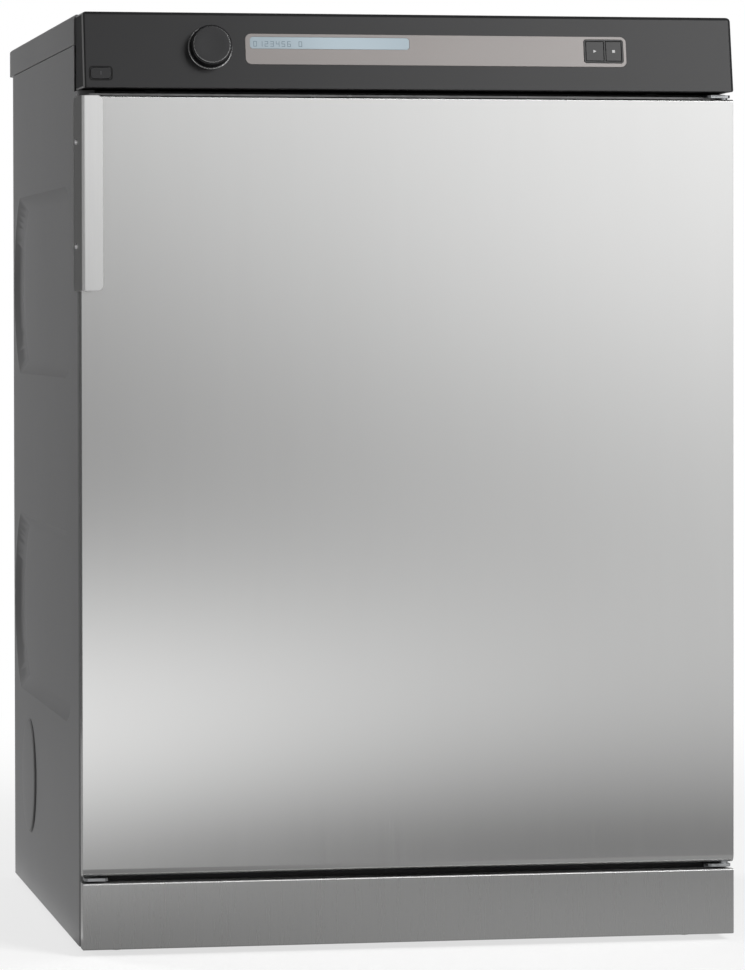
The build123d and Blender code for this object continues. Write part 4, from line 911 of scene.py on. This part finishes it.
@dataclass
class Cabinet:
    """Painted sides and lid, front frame with its lip, base, plinth and rear."""

    cap_y: float = 135.0 * MM
    cap_z: float = 119.0 * MM
    cap_radius: float = 55.5 * MM
    cap_height: float = 3.0 * MM
    side_x: float = 297.5 * MM
    rear_y: float = 281.0 * MM
    edge_radius: float = 0.3 * MM
    lip_bottom: float = 763.6 * MM
    lip_top: float = 766.0 * MM
    lip_y: float = -287.0 * MM
    lip_half_width: float = 288.0 * MM
    lip_depth: float = 0.4 * MM
    rear_screw_radius: float = 4.0 * MM
    rear_screw_height: float = 2.2 * MM

    def build(self) -> None:
        """Dresses the cabinet and adds its caps, its screws and the lip above the door."""
        for node in ("left_side_panel", "right_side_panel", "top_cover"):
            soften(node, "cabinet", PAINTED, "painted", self.edge_radius)
        dress(GALVANISED, "base_tray", "mouth_collar", "rear_panel", "rear_bulkhead")
        # The front frame's near-black paint is painted shade for the gaps round the door.
        dress(FRAME_SHADE_PAINT, "front_frame")
        soften("plinth", "cabinet", PLINTH_STEEL, "stainless", self.edge_radius)
        dress(ZINC, "hinge_bracket_top", "hinge_bracket_bottom", "spare_hinge_plate")
        dress(GREY_PLASTIC, "door_catch", "cable_gland")
        foot = LevellingFoot("levelling_foot", 6.7 * MM)
        dress(foot, *[f"foot_{end}_{side}" for end in ("front", "rear") for side in ("left", "right")])
        for side, sign in (("left", -1.0), ("right", 1.0)):
            self.vent_cap(side, sign)
        self.rear_screws()
        self.frame_lip()

    def frame_lip(self) -> None:
        """Adds a bright strip for the frame's edge above the door.

        It is 5 mm in front of the frame's face and 1.5 mm past its sides. Nothing carries it but the upper
        hinge bracket, whose metal its right end runs into.
        """
        lip = Piece("frame_lip", "cabinet", LIP_STEEL, "galvanised")
        side, height = self.lip_half_width, self.lip_top - self.lip_bottom
        place = facing((0.0, self.lip_y, self.lip_bottom), (0.0, -1.0, 0.0))
        lip.prism(oblong(-side, 0.0, side, height), place, self.lip_depth).done()

    def vent_cap(self, side: str, sign: float) -> None:
        """Adds one slightly domed vent cap in place of its plain disc.

        Args:
            side: The side's name.
            sign: -1 for the left side, 1 for the right one.
        """
        radius, height = self.cap_radius, self.cap_height
        profile = [(0.0, height), (radius * 0.5, height * 0.97), (radius * 0.85, height * 0.86)]
        profile += [(radius - 2.2 * MM, height * 0.74), (radius - 0.8 * MM, height * 0.55)]
        profile += [(radius, height * 0.2), (radius, 0.15 * MM), (radius - 2.0 * MM, 0.0)]
        place = facing((sign * self.side_x, self.cap_y, self.cap_z), (sign, 0.0, 0.0))
        cap = Piece(f"vent_cap_{side}_domed", "cabinet", PAINTED, "painted", [f"{side}_vent_cap"])
        cap.revolve(profile, place, steps=96).done()

    def rear_screws(self) -> None:
        """Adds the screws round the rear panel.

        The heads start on its face, so those at the sides start under the side panels' rear flanges.
        """
        screws = Piece("rear_panel_screws", "cabinet", SCREW_STEEL, "zinc")
        spots = [(x, z) for x in (-280.0, -140.0, 0.0, 140.0, 280.0) for z in (16.0, 800.0)]
        spots += [(x, z) for x in (-288.0, 288.0) for z in (200.0, 400.0, 600.0)]
        for x, z in spots:
            place = facing((x * MM, self.rear_y, z * MM), (0.0, 1.0, 0.0))
            screws.screw(place, self.rear_screw_radius, self.rear_screw_height)
        screws.done()


@dataclass
class Door:
    """The stainless door with its inner panel, seal, handle and hinge parts."""

    edge_radius: float = 0.35 * MM
    flange_corner: float = 2.6 * MM

    def build(self) -> None:
        """Dresses the door, its handle and the handle's screws."""
        soften("door_outer_panel", "door", STAINLESS, "stainless", self.edge_radius)
        dress(WHITE_PLASTIC, "door_inner_panel", "hinge_bush_lower", "hinge_bush_upper")
        dress(SEAL_RUBBER, "door_seal")
        self.handle()
        dress(ZINC, "door_strike")
        self.handle_screws()

    def handle(self) -> None:
        """Stands a handle with rounded ends on its side flange in for the plain one."""
        low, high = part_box("door_handle")
        piece = Piece("door_handle_softened", "door", HANDLE_STEEL, "handle_steel", ["door_handle"])
        piece.copy_of("door_handle")

        def flange_end(edge: bmesh.types.BMEdge) -> bool:
            """Whether an edge is a rear corner of the flange."""
            place, near = middle(edge), 0.2 * MM
            at_end = min(abs(place.z - low[2]), abs(place.z - high[2])) < near
            return along(edge, Axis.X) and at_end and abs(place.y - high[1]) < near

        piece.rounded(self.flange_corner, flange_end, segments=6)
        piece.rounded(self.edge_radius, lambda edge: edge.is_convex).done()

    def handle_screws(self) -> None:
        """Adds the two screw heads in the handle, where their plain discs are."""
        low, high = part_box("handle_screws")
        radius = (high[1] - low[1]) / 2
        heads = Piece("handle_screw_heads", "door", SCREW_STEEL, "zinc", ["handle_screws"])
        for z in (low[2] + radius, high[2] - radius):
            place = facing((high[0], low[1] + radius, z), (-1.0, 0.0, 0.0))
            heads.screw(place, radius, high[0] - low[0])
        heads.done()


@dataclass
class ControlPanel:
    """The fascia with its strip, display, keys and programme knob."""

    face: FasciaPlane
    knob_x: float = -181.8 * MM
    knob_rise: float = 2.4 * MM
    switch_x: float = -280.0 * MM
    switch_rise: float = -21.6 * MM
    display_left: float = -146.0 * MM
    display_right: float = -2.0 * MM
    display_rise: float = 7.2 * MM
    strip_proud: float = 0.5 * MM
    key_proud: float = 0.8 * MM
    sign_rise: float = 2.0 * MM
    sign_depth: float = 0.04 * MM
    digit_pitch: float = 5.1 * MM
    digit_margin: float = 3.0 * MM
    digit_drop: float = 1.0 * MM
    digit_depth: float = 0.03 * MM
    fascia_half_width: float = 296.0 * MM
    fascia_top: float = 838.0 * MM
    fascia_bottom: float = 770.0 * MM
    fascia_edge: float = 0.6 * MM
    top_corner: float = 4.4 * MM
    bottom_corner: float = 2.0 * MM
    outline_reach: float = 3.2 * MM
    small_edge: float = 0.35 * MM

    def build(self) -> None:
        """Dresses the panel and adds the knob's fine form and the marks."""
        self.fascia()
        soften("display_strip", "cabinet", STRIP, "strip", self.small_edge)
        window = LitWindow("lit_window", (0.44, 0.525, 0.58), self.display_left, self.display_right)
        dress(window, "display_module")
        soften("key_bezel", "cabinet", KEY, "key", self.small_edge)
        soften("start_key", "start_button", KEY, "key", self.small_edge)
        soften("stop_key", "stop_button", KEY, "key", self.small_edge)
        soften("main_switch", "power_button", FASCIA, "fascia", self.small_edge)
        dress(BOARD, "control_board")
        dress(ZINC, "knob_spindle")
        self.knob()
        self.switch_gap_shade()
        self.marks()
        self.digits()

    def fascia(self) -> None:
        """Stands a moulding with rounded corners and edges in for the plain fascia."""
        # Its finish paints a highlight along the left front edge.
        piece = Piece("control_fascia_softened", "cabinet", FASCIA_WITH_HIGHLIGHT, "fascia", ["control_fascia"])
        piece.copy_of("control_fascia")
        side, reach = self.fascia_half_width, self.outline_reach
        for toward_x in (-1.0, 1.0):
            piece.trim_corner((toward_x * side, self.fascia_top), (toward_x, 1.0), self.top_corner)
            piece.trim_corner((toward_x * side, self.fascia_bottom), (toward_x, -1.0), self.bottom_corner)

        def outer(edge: bmesh.types.BMEdge) -> bool:
            """Whether an edge is on the moulding's outline."""
            place = middle(edge)
            outside = abs(place.x) > side - reach or place.z > self.fascia_top - reach
            return edge.is_convex and (outside or place.z < self.fascia_bottom + 1.0 * MM)

        piece.rounded(self.fascia_edge, outer).done()

    def knob(self) -> None:
        """Adds the turned knob: a gloss body on a thin metal ring, with a bevelled disc in front."""
        centre = tuple(self.face.at(self.knob_x, self.knob_rise) @ Vector((0.0, 0.0, 12.0 * MM)))
        dark_disc = TurnedDisc("turned_disc", (0.03, 0.03, 0.031), 0.36, centre)
        body = [(0.0, 0.5), (19.0, 0.5), (19.2, 1.6), (18.9, 6.0), (18.3, 10.2)]
        body += [(17.9, 11.0), (17.3, 11.4), (0.0, 11.5)]
        self.turned("knob_body", KNOB_BODY, "knob", body, ["programme_knob"])
        ring = [(18.9, 0.5), (19.9, 0.5), (19.9, 1.0), (19.6, 1.3), (18.9, 1.3)]
        self.turned("knob_ring", RING_METAL, "cap", ring)
        disc = [(0.0, 12.45), (10.0, 12.5), (15.7, 12.6), (16.1, 12.5), (16.1, 11.5), (0.0, 11.5)]
        self.turned("knob_disc", dark_disc, "cap", disc, ["knob_cap"])
        bevel = [(16.0, 11.5), (16.0, 12.55), (16.2, 12.5), (16.6, 12.2), (16.8, 11.9), (16.8, 11.5)]
        self.turned("knob_disc_bevel", BEVEL_METAL, "cap", bevel)

    def turned(self, name: str, finish: Finish, slot: str, profile: Outline, replaces: Sequence[str] = ()) -> None:
        """Adds one turned piece of the knob.

        Args:
            name: The piece's name.
            finish: Its finish.
            slot: The record's material slot.
            profile: Radius and height of each point, in millimetres.
            replaces: CAD nodes that it stands for.
        """
        piece = Piece(name, "knob", finish, slot, replaces)
        points = [(radius * MM, height * MM) for radius, height in profile]
        piece.revolve(points, self.face.at(self.knob_x, self.knob_rise), steps=96).done()

    def switch_gap_shade(self) -> None:
        """Adds a thin black frame round the main switch, which is painted shade for the gap there."""
        painted_gap = Piece("switch_gap_shade", "cabinet", GAP_SHADE, "fascia")
        place = self.face.at(self.switch_x, self.switch_rise)
        painted_gap.frame((19.0 * MM, 11.0 * MM, 2.3 * MM), (21.2 * MM, 13.2 * MM, 3.4 * MM), place, 0.06 * MM)
        painted_gap.done()

    def marks(self) -> None:
        """Adds plain signs on the two keys, and one that is 0.2 mm in front of the switch."""
        half, bar, reach = 1.25 * MM, 0.35 * MM, 1.6 * MM
        triangle = [(-1.3 * MM, -1.5 * MM), (1.5 * MM, 0.0), (-1.3 * MM, 1.5 * MM)]
        square, upright_bar = oblong(-half, -half, half, half), oblong(-bar, -reach, bar, reach)
        start = Piece("start_sign", "start_button", MARK, "key")
        start.prism(triangle, self.sign_place("start_key", self.sign_rise), self.sign_depth).done()
        stop = Piece("stop_sign", "stop_button", MARK, "key")
        stop.prism(square, self.sign_place("stop_key", self.sign_rise), self.sign_depth).done()
        power = Piece("switch_sign", "power_button", FAINT_MARK, "fascia")
        power.prism(upright_bar, self.sign_place("main_switch", self.switch_rise), self.sign_depth).done()

    def sign_place(self, node: str, rise: float) -> Matrix:
        """The frame on a key's face, at the middle of its width."""
        low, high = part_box(node)
        return self.face.at((low[0] + high[0]) / 2, rise, self.key_proud)

    def digits(self) -> None:
        """Adds plain digits of seven segments at the display's left end."""
        segments = {"0": "abcdef", "1": "bc", "2": "abged", "3": "abgcd", "4": "fgbc", "5": "afgcd", "6": "afgedc"}
        width, height, thick = 3.1 * MM, 5.0 * MM, 0.55 * MM
        bars = {
            "a": (0.0, height, width, height - thick), "g": (0.0, (height + thick) / 2, width, (height - thick) / 2),
            "d": (0.0, thick, width, 0.0), "f": (0.0, height, thick, height / 2), "e": (0.0, height / 2, thick, 0.0),
            "b": (width - thick, height, width, height / 2), "c": (width - thick, height / 2, width, 0.0),
        }
        piece = Piece("display_digits", "cabinet", SEGMENT, "window")
        for index, digit in enumerate("0123456 0"):
            for name in segments.get(digit, ""):
                left, top, right, bottom = bars[name]
                left_x = self.display_left + self.digit_margin + index * self.digit_pitch
                place = self.face.at(left_x, self.display_rise - height / 2 - self.digit_drop, self.strip_proud)
                piece.prism(oblong(left, bottom, right, top), place, self.digit_depth)
        piece.done()


@dataclass
class Drum:
    """The drum with its lifters, shaft, bearing and rollers."""

    def build(self) -> None:
        """Dresses the drum."""
        dress(DRUM_STEEL, "drum_shell", "drum_rear_wall")
        dress(GREY_PLASTIC, "drum_lifters")
        dress(ZINC, "drum_shaft", "roller_bracket_left", "roller_bracket_right")
        dress(CASTING, "bearing_housing")
        dress(BLACK_RUBBER, "drum_roller_left", "drum_roller_right")


@dataclass
class AirPath:
    """Heater, filter, fan and exhaust duct."""

    def build(self) -> None:
        """Dresses the air path."""
        dress(GALVANISED, "heater_box")
        dress(ZINC, "heater_rods")
        dress(GREY_PLASTIC, "filter_duct", "fan_housing", "fan_impeller", "exhaust_duct")
        dress(FilterMesh("filter_mesh", (0.7, 0.7, 0.68), -251.0 * MM, 0.5 * MM), "lint_filter")


@dataclass
class Drive:
    """Motor, shaft, cradle and belt."""

    def build(self) -> None:
        """Dresses the drive."""
        dress(STACK, "motor")
        dress(GALVANISED, "motor_cradle")
        dress(ZINC, "motor_shaft")
        dress(BLACK_RUBBER, "drive_belt")


@dataclass(frozen=True)
class Glow:
    """A soft bright or dark patch on a reflector card."""

    level: float
    across: float
    up: float
    width: float
    height: float

    def over(self, x: Signal, z: Signal) -> Signal:
        """The patch's light at a point of the card."""
        dx = (x - self.across) * (1.0 / self.width)
        dz = (z - self.up) * (1.0 / self.height)
        return ((dx * dx + dz * dz) * -1.0).exponential() * self.level


@dataclass(frozen=True)
class CardGlow(Finish):
    """The light of a reflector card that only reflections show; along_y takes Y in place of Z."""

    base: float
    slope_x: float
    slope_z: float
    glows: tuple[Glow, ...]
    low: float
    high: float
    along_y: bool = False

    def paint(self, graph: Graph) -> None:
        """Adds the patches to a slanting level, within limits."""
        x, y, z = graph.axes()
        up = y if self.along_y else z
        level = self.base + x * self.slope_x + up * self.slope_z
        for glow in self.glows:
            level = level + glow.over(x, up)
        level = level.at_least(self.low).at_most(self.high)
        graph.output(graph.add("ShaderNodeEmission", {}, {"Color": WHITE, "Strength": level}))


@dataclass
class Studio:
    """Pale floor, soft lamps, reflector cards and the white surroundings."""

    floor_radius: float = 14.0
    world_level: float = 0.26
    near_glow: float = 0.68
    white_from: float = 0.6
    white_to: float = 2.2
    card_left: float = -1.3
    card_right: float = 1.6
    card_front: float = -1.253
    card_seam: float = 1.02
    card_top: float = 2.6
    card_rear: float = 1.8
    card_far_left: float = -2.6
    card_far_right: float = 1.62
    card_gap: float = -0.33

    def build(self) -> None:
        """Builds floor, surroundings, lamps and cards."""
        self.floor()
        self.surroundings()
        self.lamp("key_lamp", (1.5, -2.6, 2.2), (0.1, -0.3, 0.5), size=1.3, power=80.0)
        side_lamp = self.lamp("side_lamp", (-2.6, 2.75, 0.75), (-0.3, 0.0, 0.5), size=1.4, power=140.0)
        side_lamp.visible_glossy = False
        self.cards()

    @staticmethod
    def shown(graph: Graph) -> Signal:
        """1 for the rays that show a background: from the camera, off gloss and through glass."""
        node = graph.add("ShaderNodeLightPath").socket.node
        names = ("Is Camera Ray", "Is Glossy Ray", "Is Transmission Ray")
        camera, glossy, through = (Signal(graph, node.outputs[name]) for name in names)
        return camera.at_least(glossy).at_least(through)

    def floor(self) -> None:
        """Adds a pale floor that turns white with distance and keeps the shadow near the object."""
        data = bpy.data.meshes.new("studio_floor")
        turns = [2 * pi * i / 96 for i in range(96)]
        rim = [(self.floor_radius * cos(turn), self.floor_radius * sin(turn), 0.0) for turn in turns]
        data.from_pydata(rim, [], [tuple(range(len(rim)))])
        floor = link("studio_floor", data)
        material = bpy.data.materials.new("pale_floor")
        graph = Graph(material)
        away = graph.add("ShaderNodeVectorMath", {"operation": "LENGTH"}, [graph.place()], "Value")
        speck = graph.even_noise(30.0, detail=3.0)
        pale = graph.mix(speck, (0.31, 0.31, 0.31), (0.33, 0.33, 0.33))
        matt = graph.add("ShaderNodeBsdfDiffuse", {}, {"Color": pale})
        white = graph.add("ShaderNodeEmission", {}, {"Strength": 1.0})
        near = graph.add("ShaderNodeEmission", {}, {"Strength": self.shown(graph) * self.near_glow})
        lifted = graph.add("ShaderNodeAddShader", {}, [matt, near])
        share = away.ramp(self.white_from, self.white_to) * self.shown(graph)
        graph.output(graph.add("ShaderNodeMixShader", {}, [share, lifted, white]))
        floor.data.materials.append(material)

    def surroundings(self) -> None:
        """Lights the world evenly and shows it white."""
        world = bpy.data.worlds.new("white_surroundings")
        bpy.context.scene.world = world
        graph = Graph(world)
        shown = self.shown(graph)
        level = self.world_level + shown * (1.0 - self.world_level)
        light = graph.add("ShaderNodeBackground", {}, {"Color": WHITE, "Strength": level})
        graph.output(light, "ShaderNodeOutputWorld")

    @staticmethod
    def lamp(name: str, place: Point, target: Point, size: float, power: float) -> bpy.types.Object:
        """Adds a square soft lamp.

        Args:
            name: The lamp's name.
            place: Where it stands.
            target: The point that it looks at.
            size: Its edge in metres.
            power: Its power in watts.

        Returns:
            The lamp.
        """
        data = bpy.data.lights.new(name, "AREA")
        data.size = size
        data.energy = power
        lamp = link(name, data)
        lamp.location = place
        lamp.rotation_euler = (Vector(place) - Vector(target)).to_track_quat("Z", "Y").to_euler()
        return lamp

    @staticmethod
    def card(name: str, corners: Sequence[Point], glow: CardGlow) -> None:
        """Adds a card that only reflections show.

        Args:
            name: The card's name.
            corners: Its four corners.
            glow: Its light.
        """
        data = bpy.data.meshes.new(name)
        data.from_pydata(corners, [], [(0, 1, 2, 3)])
        card = link(name, data)
        data.materials.append(glow.material())
        card.visible_camera = card.visible_diffuse = False
        card.visible_shadow = card.visible_transmission = False

    def cards(self) -> None:
        """Places the front card with its soft patches and the dark cards beside, above and below it."""
        width, front_y, seam, top = (self.card_left, self.card_right), self.card_front, self.card_seam, self.card_top
        beside, behind = (self.card_far_left, self.card_gap), self.card_rear
        glows = (
            Glow(1.5, -0.6, 0.09, 0.8, 0.19),
            Glow(-0.295, 0.156, -0.019, 0.641, 0.104),
            Glow(0.102, 0.361, 0.641, 0.32, 0.192),
        )
        front_glow = CardGlow("front_card_glow", 0.05, 0.55, 0.946, glows, 0.1, 2.0)
        self.card("front_card", self.upright(front_y, width, (0.0, seam)), front_glow)
        upper_glow = CardGlow("upper_card_glow", 0.14, 0.45, 0.0, (), 0.05, 0.8)
        self.card("upper_card", self.upright(front_y, width, (seam, top)), upper_glow)
        patches = (
            Glow(0.65, -0.6, -1.25, 0.45, 0.35),
            Glow(-0.38, 0.4, -1.2, 0.9, 0.35),
            Glow(-0.1, -0.3, -0.42, 0.3, 0.3),
        )
        floor_glow = CardGlow("floor_card_glow", 0.34, 0.05, 0.0, patches, 0.08, 1.0, along_y=True)
        self.card("floor_card", self.lying(0.002, width, (front_y, -0.2)), floor_glow)
        rear_glow = CardGlow("rear_card_glow", 0.085, 0.0, 0.0, (), 0.05, 1.0)
        self.card("rear_card", self.upright(behind, beside, (0.0, 2.2)), rear_glow)
        side_glow = CardGlow("side_floor_glow", 0.32, 0.0, 0.0, (), 0.05, 1.0)
        self.card("side_floor_card", self.lying(0.003, beside, (-0.3, behind)), side_glow)
        self.card("left_card", self.sideways(self.card_far_left, (-0.15, behind), (0.0, top)), rear_glow)
        ahead_glow = CardGlow("left_front_glow", 0.09, 0.0, -0.2, (), 0.05, 0.6, along_y=True)
        self.card("left_front_card", self.sideways(self.card_far_left, (-2.8, -0.15), (0.0, top)), ahead_glow)
        dim_glow = CardGlow("dim_glow", 0.06, 0.0, 0.0, (), 0.0, 1.0)
        self.card("right_card", self.sideways(self.card_far_right, (front_y, 0.8), (0.0, top)), dim_glow)
        over = self.lying(2.61, (self.card_far_left, self.card_far_right), (front_y, behind))
        self.card("top_card", over, dim_glow)

    @staticmethod
    def sideways(x: float, along_y: tuple[float, float], up: tuple[float, float]) -> list[Point]:
        """The corners of an upright card along the Y axis."""
        return [(x, y, z) for y, z in oblong(along_y[0], up[0], along_y[1], up[1])]

    @staticmethod
    def upright(y: float, across: tuple[float, float], up: tuple[float, float]) -> list[Point]:
        """The corners of an upright card along the X axis."""
        return [(x, y, z) for x, z in oblong(across[0], up[0], across[1], up[1])]

    @staticmethod
    def lying(z: float, across: tuple[float, float], along_y: tuple[float, float]) -> list[Point]:
        """The corners of a card that lies flat."""
        return [(x, y, z) for x, y in oblong(across[0], along_y[0], across[1], along_y[1])]


@dataclass
class PhotoCamera:
    """The camera of the photograph, as measured from the object's corners."""

    place: tuple[float, float, float] = (-0.7706, -4.3499, 0.5662)
    yaw: float = radians(-10.322)
    pitch: float = radians(-0.858)
    roll: float = radians(-0.106)
    focal_pixels: float = 4598.2
    principal: tuple[float, float] = (374.9, 386.8)
    width: int = 745
    height: int = 970
    sensor_height: float = 36.0

    def build(self) -> None:
        """Creates the camera and makes it the scene's."""
        data = bpy.data.cameras.new("photo_camera")
        data.sensor_fit = "VERTICAL"
        data.sensor_height = self.sensor_height
        data.lens = self.focal_pixels / self.height * self.sensor_height
        data.shift_x = (self.width / 2 - self.principal[0]) / self.height
        data.shift_y = (self.principal[1] - self.height / 2) / self.height
        data.clip_end = 60.0
        right = Vector((cos(self.yaw), sin(self.yaw), 0.0))
        ahead = Vector((-sin(self.yaw), cos(self.yaw), 0.0))
        forward = ahead * cos(self.pitch) + Vector((0.0, 0.0, sin(self.pitch)))
        up = ahead * -sin(self.pitch) + Vector((0.0, 0.0, cos(self.pitch)))
        across = right * cos(self.roll) + up * sin(self.roll)
        upright = right * -sin(self.roll) + up * cos(self.roll)
        turn = Matrix((across, upright, -forward)).transposed().to_4x4()
        camera = link("photo_camera", data)
        camera.matrix_world = Matrix.Translation(self.place) @ turn
        bpy.context.scene.camera = camera


def main() -> None:
    """Builds every sub-assembly in order, then the studio and the camera."""
    logging.basicConfig(level=logging.INFO, format="%(name)s: %(message)s")
    bpy.context.scene.view_settings.view_transform = "Standard"
    PhotoCamera().build()
    for assembly in (Cabinet(), Door(), ControlPanel(FasciaPlane()), Drum(), AirPath(), Drive()):
        assembly.build()
    Studio().build()


if __name__ == "__main__":
    main()
